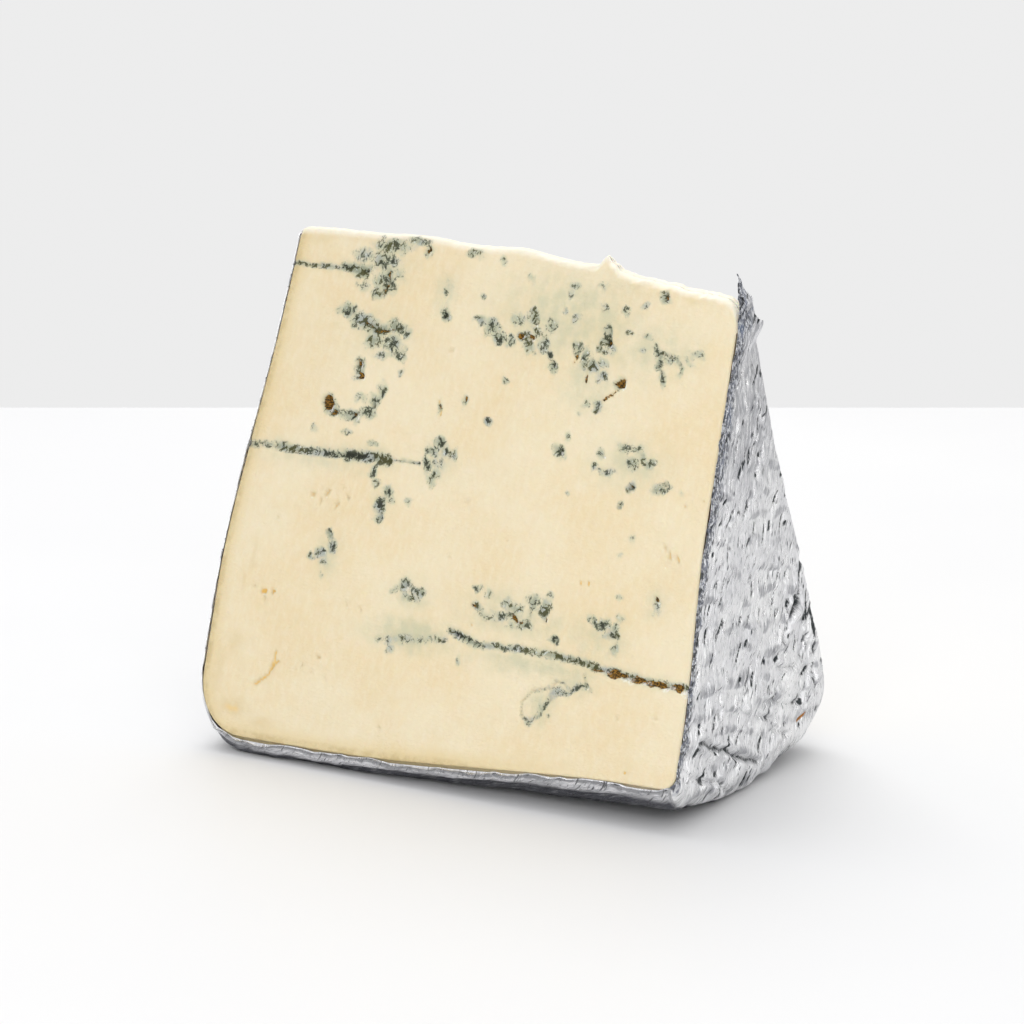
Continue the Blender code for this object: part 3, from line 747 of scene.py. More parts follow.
def cheese_faces(front_shape, back_shape, ring_size):
    """Quads and triangles over the front cut, the rings and the coarser back cut."""
    front_index = numbered(0, front_shape)
    back_index = numbered(front_index.size + len(RING_PLACES) * ring_size, back_shape)
    loops = [loop_of(front_index)]
    for ring in range(len(RING_PLACES)):
        loops.append(front_index.size + ring * ring_size + np.arange(ring_size))
    quads = [grid_quads(front_index)]
    for first, second in zip(loops, loops[1:]):
        quads.append(ring_quads(first, second)[:, ::-1])
    quads.append(grid_quads(back_index)[:, ::-1])
    triangles = ring_to_half(loops[-1], loop_of(back_index))[:, ::-1]
    return np.concatenate(quads), triangles


def make_cheese(look):
    front = Cut(-FRONT_ANGLE, front_marks, 40)
    back = Cut(BACK_ANGLE, back_marks, 60)
    edge_x, edge_radius = loop_of(front.x), loop_of(front.radius)
    on_crest = np.arange(len(edge_x)) < front.x.shape[1] - 1
    thickness = np.linalg.norm(loop_of(back.points) - loop_of(front.points), axis=1)
    rings = [ring_between(front, back, share, on_crest, thickness) for share in RING_PLACES]

    values = {}
    for name, at_front in front.marks.items():
        first, last = loop_of(at_front), loop_of(back.marks[name])
        between = [first + (last - first) * share for share in RING_PLACES]
        values[name] = in_order(at_front, between, back.marks[name])
    # the crest rings get the full painted highlight
    crest_highlight_rings = [np.where(on_crest, 1.0, 0.0)] * len(rings)
    values["crest"] = in_order(front.painted_crest_highlight(), crest_highlight_rings, back.painted_crest_highlight())
    rind_rings = [np.where(on_crest, 0.0, 0.6)] * len(rings)
    rind_front = front.edge_tint() * smooth_step((40.0 - front.x) / 60.0 + 0.25)
    values["rind"] = in_order(rind_front, rind_rings, back.edge_tint())
    spot_rings = [np.stack([edge_x, -share * thickness, edge_radius], axis=-1) for share in RING_PLACES]
    values["spot"] = in_order(front.spots(0.0), spot_rings, back.spots(BACK_PATTERN_SHIFT))

    points = in_order(front.points, rings, back.points)
    quads, triangles = cheese_faces(front.x.shape, back.x[COARSE].shape, len(edge_x))
    return make_mesh("cheese_wedge", points, quads, triangles, values, look)


# ---------------------------------------------------------------- the foil

FOIL_COLUMNS = 136
FOIL_LEFT_ROWS = 104
FOIL_LEFT_CORNER_ROWS = 18
FOIL_RIM_ROWS = 118
FOIL_RIGHT_CORNER_ROWS = 12
FOIL_RIGHT_ROWS = 276
CROWDED_TO_FRONT = 1.12
INNER_OFFSET = 0.25

# Where the foil ends on the left, and on the right from its front end TIP_REACH farther down at the back.
FOIL_LEFT_END = 4.0
FOIL_TIP = 4.0
TIP_REACH = 16.6
TIP_SPLAY = 2.2
TIP_BENT_BELOW = 16.0
TIP_BEND = 2.2

# How far relief may sink under the smooth path before the cheese would show through.
DEEPEST_LEFT = -0.06
DEEPEST_RIGHT = -0.34

# The height of a tier of folds, and the size and lean of the cells that hold one nick each.
BAND = 5.1
NICK_CELL = 4.3
NICK_LEAN = 0.60
NICK_SHARE = 0.56

# Keeps the noise of the two sides and of the rim apart.
SIDE_PATTERN_SHIFT = 40.0

# Creases of the right side: half width, depth, then points (distance behind the front cut, radius).
CREASES = (
    (0.7, 0.9, ((4.2, 89.7), (8.5, 90.4), (12, 91.3), (18.2, 92.7), (24.2, 94.8), (32.7, 97.9))),
    (1, 1.5, ((42.6, 64), (42, 68), (40.6, 72.4))),
    (0.9, 1.3, ((40.2, 72.2), (37.8, 73.6), (36, 76.6))),
    (0.8, 1.5, ((49, 77), (51.6, 82), (53.2, 87), (53.4, 91.5))),
    (0.6, 1.1, ((46.6, 73), (47.4, 78), (47.2, 82))),
    (0.8, 1.2, ((51, 83.4), (50.4, 88), (48.6, 91.2))),
    (0.5, 0.6, ((46.2, 80), (45.4, 82.6), (42.6, 84.2), (37, 82), (33, 79))),
    (0.5, 0.5, ((30, 88.6), (35, 90.4), (39, 94), (44, 96.5))),
    (0.5, 0.8, ((17.4, 32.2), (18.8, 36.4), (19.4, 41))),
    (0.4, 0.6, ((13.8, 27.8), (14.6, 32.2), (14.8, 36))),
    (0.6, 0.6, ((6, 96.5), (10, 97.5), (15, 98), (20, 100))),
    (0.5, 0.5, ((20, 84), (24, 87), (26.5, 91))),
    (0.5, 0.5, ((10, 80), (12, 84), (13, 88.6))),
    (0.4, 0.5, ((48, 76), (50, 80))),
    (0.6, 0.5, ((30, 86), (36, 87.4), (42, 90.4), (48, 92))),
)
TEAR = ((54.4, 94.6), (52, 95.4), (49, 96))
TEAR_HALF_WIDTH = 0.5


def slits(y, drop, seed):
    """Short slanting nicks in rough rows, one to a cell at most: 1 in the middle of a nick."""
    u = (y + NICK_LEAN * drop) / NICK_CELL
    v = drop / BAND
    i, j = np.floor(u), np.floor(v)
    deepest = np.zeros(np.shape(y))
    for right in (-1, 0, 1):
        for under in (-1, 0, 1):
            cell_u, cell_v = i + right, j + under
            middle_u = cell_u + 0.15 + 0.7 * scatter(cell_u, cell_v, seed)
            middle_v = cell_v + 0.35 + 0.5 * scatter(cell_u, cell_v, seed + 1)
            half_length = 0.6 + 2.3 * scatter(cell_u, cell_v, seed + 2) ** 1.5
            half_width = 0.29 + 0.25 * scatter(cell_u, cell_v, seed + 3)
            shown = scatter(cell_u, cell_v, seed + 4) < NICK_SHARE
            across = (u - middle_u) * NICK_CELL
            along = (v - middle_v) * BAND
            shape = np.exp(-(across / half_width) ** 2) * smooth_step(1.6 - 1.6 * np.abs(along) / half_length)
            deepest = np.maximum(deepest, np.where(shown, shape, 0.0))
    return deepest


def foil_rows(angle):
    """x and radius down the left side, round the rim and up the right side, for a row of angles."""
    def part(count):
        return np.linspace(0.0, 1.0, count + 1)[:, None]

    right_round = right_corner(angle)
    left_centre = left_x(WHEEL_RADIUS) + LEFT_CORNER
    right_centre = right_x(WHEEL_RADIUS) - right_round
    behind = angle + FRONT_ANGLE
    tip = FOIL_TIP + TIP_REACH * behind ** 1.1
    tip = tip + 0.35 * facets(behind * 26.0, behind * 0.0, 81)
    tip = tip + 0.18 * facets(behind * 70.0, behind * 0.0, 82)
    left_end = FOIL_LEFT_END + 0.5 * facets(behind * 22.0, behind * 0.0, 83)

    left_radius = left_end + part(FOIL_LEFT_ROWS) * (WHEEL_RADIUS - LEFT_CORNER - left_end)
    left_side = (left_x(left_radius), left_radius)
    turn = part(FOIL_LEFT_CORNER_ROWS)[1:] * math.pi / 2 + 0.0 * angle
    left_bend = (left_centre - LEFT_CORNER * np.cos(turn), WHEEL_RADIUS - LEFT_CORNER * (1.0 - np.sin(turn)))
    rim_x = left_centre + part(FOIL_RIM_ROWS)[1:] * (right_centre - left_centre)
    rim = (rim_x, WHEEL_RADIUS + 0.0 * rim_x)
    turn = (1.0 - part(FOIL_RIGHT_CORNER_ROWS)[1:]) * math.pi / 2 + 0.0 * angle
    bend_radius = WHEEL_RADIUS - right_round * (1.0 - np.sin(turn))
    right_bend = (right_centre + right_round * np.cos(turn), bend_radius)
    top_share = part(FOIL_RIGHT_ROWS)[1:]
    right_radius = WHEEL_RADIUS - right_round + top_share * (tip - WHEEL_RADIUS + right_round)
    right_side = (right_x(right_radius), right_radius)
    parts = (left_side, left_bend, rim, right_bend, right_side)
    return [np.concatenate([piece[axis] for piece in parts]) for axis in (0, 1)]


def tiers(y, drop, warp):
    """The foil hangs in tiers: how far each stands out, and how much of it the one above shades."""
    level = (drop - 0.16 * y) / BAND + 0.45 * warp
    share = level - np.floor(level)
    height = 0.66 * (share ** 1.3 - smooth_step((share - 0.66) / 0.34))
    height = height * (0.6 + 0.6 * waves(y / 7.0 + 9.0, drop / 6.0, 91))
    shade = smooth_step((share - 0.40) / 0.3) * (1.0 - smooth_step((share - 0.86) / 0.14))
    return height, shade * smooth_step(0.5 + 1.1 * rough(y / 5.0, drop / 6.0, 88, 3))


def crumples(y, drop, radius, tip):
    """Fine grain and the flat facets of crushed foil, with more of them at the tip and low down."""
    grain = 0.07 * waves((y + 0.35 * drop) / 1.1, drop / 7.0, 92)
    grain = grain + 0.03 * waves((y + 0.2 * drop) / 0.5, drop / 3.0, 93)
    bent_y = y + 0.8 * waves(y / 5.0, drop / 5.0, 94)
    bent_drop = drop + 0.8 * waves(y / 5.0, drop / 5.0, 95)
    crushed = 0.55 * facets(bent_y / 3.8, bent_drop / 6.5, 96)
    crushed = crushed + 0.28 * facets(bent_y / 1.9, bent_drop / 3.6, 97)
    crushed = crushed + tip * 0.5 * facets(y / 1.9, drop / 2.2, 99)
    low_down = smooth_step((radius - 72.0) / 24.0)
    return grain + crushed + low_down * 0.45 * facets(bent_y / 4.2, bent_drop / 3.4, 98)


def rim_wrinkles(along, behind):
    """Wrinkles across the rim, closer together on its front edge."""
    front_edge = smooth_step(1.0 - behind / 2.2)
    wrinkles = 0.50 * facets(along / 13.0, behind / 1.7, 102) + 0.30 * facets(along / 6.0, behind / 0.9, 103)
    wrinkles = wrinkles + front_edge * 0.35 * facets(along / 1.7, behind / 1.1, 108)
    return wrinkles + 0.10 * waves(along / 3.0, behind / 2.5, 104)


def add_creases(side, nick, behind, radius, on_right):
    """Presses each crease of the right side in, raises a fold beside it and darkens its bottom with painted
    shade.
    """
    for half_width, deep, points in CREASES:
        away = from_line(behind, radius, points)
        fold = 0.5 * deep * bump(away, 1.6 * half_width, half_width)
        side = side - on_right * (deep * bump(away, 0.0, half_width) - fold)
        crease_shade = (0.25 + 0.45 * deep) * bump(away, 0.0, half_width * (0.3 + 0.45 * deep))
        nick = np.maximum(nick, on_right * crease_shade)
    return side, nick


def margin_width(radius):
    """How wide the crushed strip along the front cut is."""
    width = 0.55 + 2.1 * bump(radius, 34.0, 24.0) + 0.8 * bump(radius, 92.0, 9.0)
    return width + 0.45 * waves(radius / 6.0, radius * 0.0, 105)


def foil_relief(radius, angle, along, on_right, on_left):
    """How far the foil stands out from its smooth path, and the values that its looks follow."""
    behind, before = radius * (angle + FRONT_ANGLE), radius * (BACK_ANGLE - angle)
    y, drop = radius * np.sin(angle), radius * np.cos(angle)
    on_side = np.maximum(on_right, on_left)
    warp = waves(y / 9.0, drop / 12.0, 90)
    tip = on_right * smooth_step((17.0 - radius) / 5.0)
    tier, shade = tiers(y, drop, warp)
    # painted shade also darkens the right side high up, towards the tip
    shade = np.maximum(shade * on_side, 0.75 * on_right * smooth_step((60.0 - radius) / 28.0))
    nick = slits(y + 0.9 * warp, drop, 100)
    nick = np.maximum(nick, 0.9 * slits(y + 0.9 * warp + 1.9, drop + 1.1, 110)) * (1.0 - 0.45 * on_left)
    side = tier + crumples(y, drop, radius, tip) - 0.7 * nick
    crease_radius = radius + 0.5 * waves(y / 3.0, drop / 3.0, 101)
    side, nick = add_creases(side, nick, behind + 0.5 * warp, crease_radius, on_right)

    relief = on_side * side + (1.0 - on_side) * rim_wrinkles(along, behind)
    flatter = 1.0 - 0.75 * smooth_step(1.0 - before / 5.0)
    relief = relief * (flatter * on_side + 1.0 - on_side) * (1.0 - 0.45 * on_left)
    width = margin_width(radius)
    margin = smooth_step(1.15 - behind / np.maximum(width, 0.4)) * on_side
    bulge = on_right * (1.0 - 0.7 * behind / (behind + before)) * smooth_step(radius / 24.0)
    bulge = bulge * (1.0 - 0.35 * smooth_step((radius - 52.0) / 20.0))
    relief = relief * (1.0 - 0.5 * margin) + bulge * np.sqrt(smooth_step(behind / (1.3 * width)))
    relief = relief + margin * 0.10 * facets(y / 0.8, drop / 1.6, 106)
    relief = relief + 0.35 * on_right * bump(behind, width + 1.2, 0.5) * smooth_step((70.0 - radius) / 20.0)
    tear = on_right * bump(from_line(behind, radius + 0.3 * warp, TEAR), 0.0, TEAR_HALF_WIDTH)
    deepest = DEEPEST_LEFT * on_left + DEEPEST_RIGHT * (1.0 - on_left)
    # the tip gets the crushed strip's painted shade and glints too
    darkened_tip = 0.75 * tip * smooth_step(0.5 + 1.2 * facets(y / 1.9, drop / 2.2, 107))
    values = {
        "nick": nick * on_side,
        "margin": np.maximum(margin * on_right, darkened_tip),
        "tear": tear,
        "shade": shade,
        # painted shade: under darkens the rim behind its front edge, where it sits under the cheese
        "under": smooth_step((behind - 0.6) / 1.3) * (1.0 - on_side),
        "rim": 1.0 - on_side,
    }
    return np.maximum(relief - 0.5 * tear, deepest), values


def path_lengths(x, radius):
    """How far along the foil's path each point is, measured halfway between the cuts."""
    middle = x.shape[1] // 2
    steps = np.hypot(np.diff(x[:, middle]), np.diff(radius[:, middle]))
    return np.broadcast_to(np.concatenate([[0.0], np.cumsum(steps)])[:, None], x.shape)


def foil_spots(radius, angle, along, out_x, on_side):
    """Where the looks find each point's noise: level and upright on the sides, along and across the rim."""
    return np.stack([
        np.where(on_side > 0.5, radius * np.sin(angle), radius * (angle + FRONT_ANGLE)),
        np.where(on_side > 0.5, radius * np.cos(angle), along),
        np.where(on_side > 0.5, SIDE_PATTERN_SHIFT * np.sign(out_x), 0.0),
    ], axis=-1)


def make_foil(look):
    columns = np.linspace(0.0, 1.0, FOIL_COLUMNS + 1)[None, :] ** CROWDED_TO_FRONT
    angle = -FRONT_ANGLE + columns * (FRONT_ANGLE + BACK_ANGLE)
    x, radius = foil_rows(angle)
    angle = np.broadcast_to(angle, x.shape)
    run, rise = np.gradient(x, axis=0), np.gradient(radius, axis=0)
    length = np.hypot(run, rise)
    out_x, out_radius = -rise / length, run / length
    along = path_lengths(x, radius)
    on_right = smooth_step((out_x - 0.45) / 0.4)
    on_left = smooth_step((-out_x - 0.45) / 0.4)
    relief, values = foil_relief(radius, angle, along, on_right, on_left)
    values["spot"] = foil_spots(radius, angle, along, out_x, np.maximum(on_right, on_left))

    def sheet_points(distance, lowest):
        """Points this far outside the smooth path, with the tip bent over and splayed."""
        spots = place(x + distance * out_x, shaped(x, radius + distance * out_radius, angle), angle, lowest)
        bend = on_right * np.clip(1.0 - radius / TIP_BENT_BELOW, 0.0, 1.0) ** 2 * TIP_BEND
        splay = on_right * smooth_step((19.0 - radius) / 5.0) * backwards(angle) * TIP_SPLAY
        spots[..., 0] -= bend - splay + drawn_in(radius, angle, on_right)
        spots[..., 1] -= bend
        return spots

    outer = sheet_points(FOIL_GAP + FOIL_THICKNESS + relief, 0.0)
    inner = sheet_points(FOIL_GAP + INNER_OFFSET + 0.9 * np.minimum(relief, 0.3), INNER_OFFSET)[COARSE]
    outer_index = numbered(0, x.shape)
    inner_index = numbered(x.size, x[COARSE].shape)
    quads = np.concatenate([grid_quads(outer_index), grid_quads(inner_index)[:, ::-1]])
    triangles = ring_to_half(loop_of(outer_index), loop_of(inner_index))[:, ::-1]
    points = np.concatenate([flat_list(outer), flat_list(inner)])
    for name, value in values.items():
        values[name] = np.concatenate([flat_list(value), flat_list(value[COARSE])])
    return make_mesh("foil_wrap", points, quads, triangles, values, look)


# ---------------------------------------------------------------- materials

class Tree:
    """Short ways to add nodes to a material."""

    def __init__(self, name):
        self.material = bpy.data.materials.new(name)
        self.material.use_nodes = True
        self.nodes = self.material.node_tree.nodes
        self.links = self.material.node_tree.links
        self.shader = self.nodes["Principled BSDF"]

    def link(self, source, target):
        if hasattr(source, "is_output"):
            self.links.new(source, target)
        else:
            target.default_value = source

    def surface(self, **sockets):
        """Sets or links the shader's sockets, whose names are given with _ for each space."""
        for name, source in sockets.items():
            self.link(source, self.shader.inputs[name.replace("_", " ")])

    def attribute(self, name, output="Fac"):
        node = self.nodes.new("ShaderNodeAttribute")
        node.attribute_name = name
        return node.outputs[output]

    def stretched(self, vector, across, down, lean=0.0):
        """Coordinates whose unit is this many millimetres across and down, leaning from the upright."""
        node = self.nodes.new("ShaderNodeMapping")
        node.vector_type = "TEXTURE"
        self.link(vector, node.inputs["Vector"])
        node.inputs["Scale"].default_value = (across, down, 1.0)
        node.inputs["Rotation"].default_value = (0.0, 0.0, lean)
        return node.outputs["Vector"]

    def noise(self, vector, scale, detail=3.0, roughness=0.55, distortion=0.0):
        node = self.nodes.new("ShaderNodeTexNoise")
        self.link(vector, node.inputs["Vector"])
        node.inputs["Scale"].default_value = scale
        node.inputs["Detail"].default_value = detail
        node.inputs["Roughness"].default_value = roughness
        node.inputs["Distortion"].default_value = distortion
        return node.outputs["Fac"]

    def cells(self, vector, scale):
        node = self.nodes.new("ShaderNodeTexVoronoi")
        self.link(vector, node.inputs["Vector"])
        node.inputs["Scale"].default_value = scale
        return node.outputs["Distance"]

    def maths(self, operation, first, second=0.0):
        node = self.nodes.new("ShaderNodeMath")
        node.operation = operation
        self.link(first, node.inputs[0])
        self.link(second, node.inputs[1])
        return node.outputs[0]

    def times(self, first, second):
        return self.maths("MULTIPLY", first, second)

    def plus(self, first, second):
        return self.maths("ADD", first, second)

    def minus(self, first, second):
        return self.maths("SUBTRACT", first, second)

    def span(self, value, low, high, to_low=0.0, to_high=1.0, smooth=True):
        node = self.nodes.new("ShaderNodeMapRange")
        node.interpolation_type = "SMOOTHSTEP" if smooth else "LINEAR"
        self.link(value, node.inputs["Value"])
        node.inputs["From Min"].default_value = low
        node.inputs["From Max"].default_value = high
        node.inputs["To Min"].default_value = to_low
        node.inputs["To Max"].default_value = to_high
        return node.outputs["Result"]

    def ragged(self, value, noise, reach):
        """The value, raised and lowered by noise."""
        return self.plus(value, self.span(noise, 0.3, 0.7, -reach, reach, False))

    def mix(self, share, first, second):
        node = self.nodes.new("ShaderNodeMix")
        node.data_type = "RGBA"
        self.link(share, node.inputs[0])
        self.link(first, node.inputs[6])
        self.link(second, node.inputs[7])
        return node.outputs[2]

    def blend(self, value, low, high, first, second):
        """The first screen colour where the value is low, the second where it is high."""
        return self.mix(self.span(value, low, high), colour(*first), colour(*second))

    def tinted(self, below, value, low, high, most, tint):
        """A screen colour laid over what is below, up to the share of it given by most."""
        return self.mix(self.span(value, low, high, 0.0, most), below, colour(*tint))

    def bump(self, height, distance, strength):
        node = self.nodes.new("ShaderNodeBump")
        node.inputs["Distance"].default_value = distance
        node.inputs["Strength"].default_value = strength
        self.link(height, node.inputs["Height"])
        return node


def colour(red, green, blue):
    """A colour given as it looks on a screen, from 0 to 255."""
    def linear(value):
        value /= 255.0
        return value / 12.92 if value <= 0.04045 else ((value + 0.055) / 1.055) ** 2.4

    return (linear(red), linear(green), linear(blue), 1.0)


def paste_colour(tree, spot, fine, speckle):
    """Cream paste, tanned along its skin and where it is stained, with a painted highlight whitening its
    crest.
    """
    rind, warm = tree.attribute("rind"), tree.attribute("warm")
    paste = tree.blend(tree.noise(spot, 0.045), 0.35, 0.65, (240, 226, 193), (237, 218, 178))
    paste = tree.tinted(paste, fine, 0.35, 0.75, 0.4, (245, 234, 208))
    paste = tree.tinted(paste, speckle, 0.62, 0.82, 0.35, (232, 205, 150))
    paste = tree.tinted(paste, rind, 0.0, 1.0, 0.55, (228, 206, 152))
    clumped = tree.noise(spot, 0.5, 4.0, 0.6)
    border = tree.times(tree.span(rind, 0.68, 0.98, 0.0, 0.6), tree.span(clumped, 0.4, 0.6, 0.35, 1.0))
    paste = tree.mix(border, paste, colour(200, 178, 128))
    stained = tree.blend(warm, 0.40, 0.62, (216, 192, 138), (240, 194, 88))
    paste = tree.mix(tree.span(warm, 0.0, 1.0, 0.0, 0.85), paste, stained)
    # painted highlight: the crest whitened where light from above catches it
    paste = tree.tinted(paste, tree.attribute("crest"), 0.2, 1.0, 0.75, (255, 250, 236))

    # A grey-green haze where the mould's threads run under the surface.
    mottled = tree.noise(tree.stretched(spot, 3.0, 3.6, 0.1), 1.0)
    hazy = tree.times(tree.attribute("haze"), tree.span(mottled, 0.25, 0.75, 0.5, 1.2))
    return tree.tinted(paste, hazy, 0.0, 1.0, 0.85, (206, 204, 172))


def veil_over(tree, paste, spot, mould, clumps):
    """A pale veil of mould over the paste, and how thick it is."""
    soft = tree.ragged(mould, clumps, 0.3)
    present = tree.times(tree.span(soft, 0.05, 0.95, 0.0, 0.85), tree.span(mould, 0.03, 0.35))
    veil = tree.blend(soft, 0.3, 1.3, (204, 206, 182), (150, 158, 138))
    veil = tree.tinted(veil, tree.noise(spot, 0.22, 2.0), 0.50, 0.62, 0.7, (182, 190, 190))
    return tree.mix(present, paste, veil), present


def threads_over(tree, looks, spot, mould, clumps, hairs, present):
    """Dark threads that wind through the veil and meet where the mould is thick, and white painted glints."""
    winding = tree.noise(tree.stretched(spot, 1.8, 2.1, 0.15), 1.0, 4.0, 0.6, 0.5)
    off_thread = tree.maths("ABSOLUTE", tree.minus(winding, 0.5))
    patchy = tree.ragged(tree.ragged(mould, clumps, 0.5), hairs, 0.3)
    reach = tree.plus(tree.times(patchy, 0.090), -0.034)
    thread = tree.span(tree.minus(reach, off_thread), -0.026, 0.022)
    thread = tree.times(thread, tree.span(mould, 0.12, 0.5))
    dark = tree.blend(patchy, 0.5, 1.3, (100, 106, 84), (42, 47, 34))
    dark = tree.tinted(dark, tree.noise(spot, 0.16, 2.0), 0.47, 0.60, 0.75, (84, 82, 34))
    looks = tree.mix(tree.times(thread, 0.93), looks, dark)
    # painted highlight: small white glints over the veil
    painted_glints = tree.times(tree.span(hairs, 0.58, 0.66), tree.span(present, 0.3, 0.7, 0.0, 0.8))
    painted_glints = tree.times(painted_glints, tree.minus(1.0, thread))
    return tree.mix(painted_glints, looks, colour(230, 234, 228))


def holes_over(tree, looks, mould, clumps, hairs, speckle):
    """Brown where a hole has dried out, dark where one is mouldy, with a painted highlight on one side of its
    lip.
    """
    brown = tree.attribute("brown")
    burnt = tree.blend(speckle, 0.40, 0.58, (168, 122, 44), (66, 52, 22))
    dried = tree.span(tree.ragged(brown, clumps, 0.3), 0.35, 0.60)
    dried = tree.times(dried, tree.span(brown, 0.08, 0.25))
    looks = tree.mix(dried, looks, burnt)
    dark_pit = tree.times(tree.span(tree.attribute("pit"), 0.45, 1.1, 0.0, 0.75), tree.span(mould, 0.2, 0.6))
    looks = tree.mix(tree.times(dark_pit, tree.minus(1.0, dried)), looks, colour(34, 38, 30))
    # painted highlight: white on one side of each hole's and eye's lip
    highlight_spot = tree.span(tree.attribute("pale"), 0.3, 0.8, 0.0, 0.8)
    highlight_spot = tree.times(highlight_spot, tree.span(hairs, 0.42, 0.55, 0.1, 1.0))
    return tree.mix(highlight_spot, looks, colour(250, 248, 240))


def cheese_bumps(tree, spot, hairs, present):
    """The drag of the knife and a fine grain, under the fuzz of the mould."""
    drag = tree.noise(tree.stretched(spot, 0.9, 8.0, 0.1), 1.0, 3.0, 0.6)
    grain = tree.noise(spot, 1.5, 4.0, 0.6)
    height = tree.plus(tree.span(drag, 0.2, 0.8, 0.0, 0.35), tree.span(grain, 0.2, 0.8, 0.0, 0.5))
    fuzz = tree.bump(tree.times(hairs, present), 0.0007, 0.7)
    tree.link(tree.bump(height, 0.0003, 0.6).outputs["Normal"], fuzz.inputs["Normal"])
    return fuzz.outputs["Normal"]


def cheese_look():
    tree = Tree("blue_cheese_paste")
    spot, mould = tree.attribute("spot", "Vector"), tree.attribute("mould")
    fine = tree.noise(tree.stretched(spot, 1.1, 2.4, 0.08), 1.0, 4.0, 0.6)
    speckle = tree.noise(spot, 2.6, 3.0, 0.6)
    hairs = tree.noise(tree.stretched(spot, 0.65, 0.95, 0.25), 1.0, 4.0, 0.65, 0.6)
    clumps = tree.noise(tree.stretched(spot, 1.5, 1.9, 0.2), 1.0, 4.0, 0.62, 0.5)
    paste = paste_colour(tree, spot, fine, speckle)
    looks, present = veil_over(tree, paste, spot, mould, clumps)
    looks = threads_over(tree, looks, spot, mould, clumps, hairs, present)
    tree.surface(
        Base_Color=holes_over(tree, looks, mould, clumps, hairs, speckle),
        Roughness=tree.mix(present, tree.span(fine, 0.3, 0.7, 0.40, 0.56), (0.8, 0.8, 0.8, 1.0)),
        Normal=cheese_bumps(tree, spot, hairs, present),
        Specular_IOR_Level=0.38,
        Subsurface_Weight=0.18,
        Subsurface_Radius=(1.0, 0.62, 0.30),
        Subsurface_Scale=0.0012,
    )
    return tree.material


def crushed_edge_shade_and_glints(tree, spot, streaks):
    """The crushed strip along the front cut, painted dark blue-grey as shade and reflection, with painted
    glints for bright specks.
    """
    # painted shade and reflection: dark blue-grey
    worn = tree.blend(streaks, 0.42, 0.58, (124, 128, 140), (66, 68, 70))
    worn = tree.tinted(worn, tree.noise(spot, 0.12, 1.0), 0.60, 0.68, 0.6, (98, 118, 150))
    edge_glint = tree.noise(tree.stretched(spot, 0.35, 1.1, 0.2), 1.0, 3.0, 0.65)
    return tree.tinted(worn, edge_glint, 0.50, 0.58, 1.0, (208, 210, 214))


def foil_look():
    tree = Tree("crumpled_foil")
    spot, rim = tree.attribute("spot", "Vector"), tree.attribute("rim")
    grain = tree.noise(tree.stretched(spot, 0.55, 5.0, 0.32), 1.0, 5.0, 0.65)
    cloud = tree.noise(spot, 0.11, 4.0, 0.6)
    fine = tree.noise(tree.stretched(spot, 0.3, 1.2, 0.1), 1.0, 4.0, 0.6)
    streaks = tree.noise(tree.stretched(spot, 0.28, 2.6, 0.55), 1.0, 3.0, 0.6)

    silver = tree.blend(cloud, 0.3, 0.7, (252, 252, 252), (236, 236, 238))
    # painted shade and reflection: the rim is tinted greyer, and darker still behind its front edge
    silver = tree.tinted(silver, rim, 0.4, 1.0, 0.5, (206, 206, 212))
    silver = tree.tinted(silver, tree.attribute("under"), 0.0, 1.0, 0.92, (72, 73, 82))
    # painted shade under each tier and high on the right side
    shaded = tree.times(tree.attribute("shade"), tree.span(grain, 0.38, 0.58, 0.25, 1.0))
    silver = tree.tinted(silver, shaded, 0.1, 0.9, 0.72, (142, 143, 149))
    silver = tree.tinted(silver, grain, 0.50, 0.66, 0.6, (186, 187, 190))
    silver = tree.tinted(silver, streaks, 0.58, 0.66, 0.8, (108, 110, 114))

    # Small nicks, in some places only and none on the rim, then the ones that the mesh has, all darkened with
    # painted shade.
    small = tree.cells(tree.stretched(spot, 1.2, 4.8, 0.62), 1.0)
    small = tree.times(tree.span(small, 0.18, 0.07), tree.span(cloud, 0.44, 0.52))
    small = tree.times(small, tree.minus(1.0, rim))
    silver = tree.mix(small, silver, colour(64, 68, 78))
    painted_nick_shade = tree.times(tree.attribute("nick"), tree.span(fine, 0.3, 0.6, 0.6, 1.2))
    silver = tree.tinted(silver, painted_nick_shade, 0.28, 0.7, 0.96, (44, 50, 52))

    # painted shade and reflection, with painted glints, along the front cut and at the tip
    painted_edge_shade = tree.times(tree.attribute("margin"), tree.span(fine, 0.36, 0.56, 0.35, 1.0))
    silver = tree.mix(tree.span(painted_edge_shade, 0.1, 0.6, 0.0, 0.92), silver, crushed_edge_shade_and_glints(tree, spot, streaks))
    silver = tree.tinted(silver, tree.attribute("tear"), 0.35, 0.8, 1.0, (172, 118, 58))

    height = tree.plus(grain, tree.span(fine, 0.2, 0.8, 0.0, 0.4))
    height = tree.minus(height, tree.span(streaks, 0.6, 0.72, 0.0, 0.8))
    tree.surface(
        Base_Color=silver,
        Metallic=1.0,
        Roughness=tree.span(grain, 0.3, 0.7, 0.24, 0.38),
        Normal=tree.bump(tree.minus(height, small), 0.0005, 0.8).outputs["Normal"],
    )
    return tree.material


def floor_look():
    tree = Tree("pale_floor")
    cloud = tree.noise(tree.nodes.new("ShaderNodeTexCoord").outputs["Object"], 4.0)
    tint = tree.blend(cloud, 0.3, 0.7, (234, 234, 234), (230, 230, 231))
    tree.surface(Base_Color=tint, Roughness=0.5, Specular_IOR_Level=0.3)
    return tree.material


# ---------------------------------------------------------------- camera, floor and light

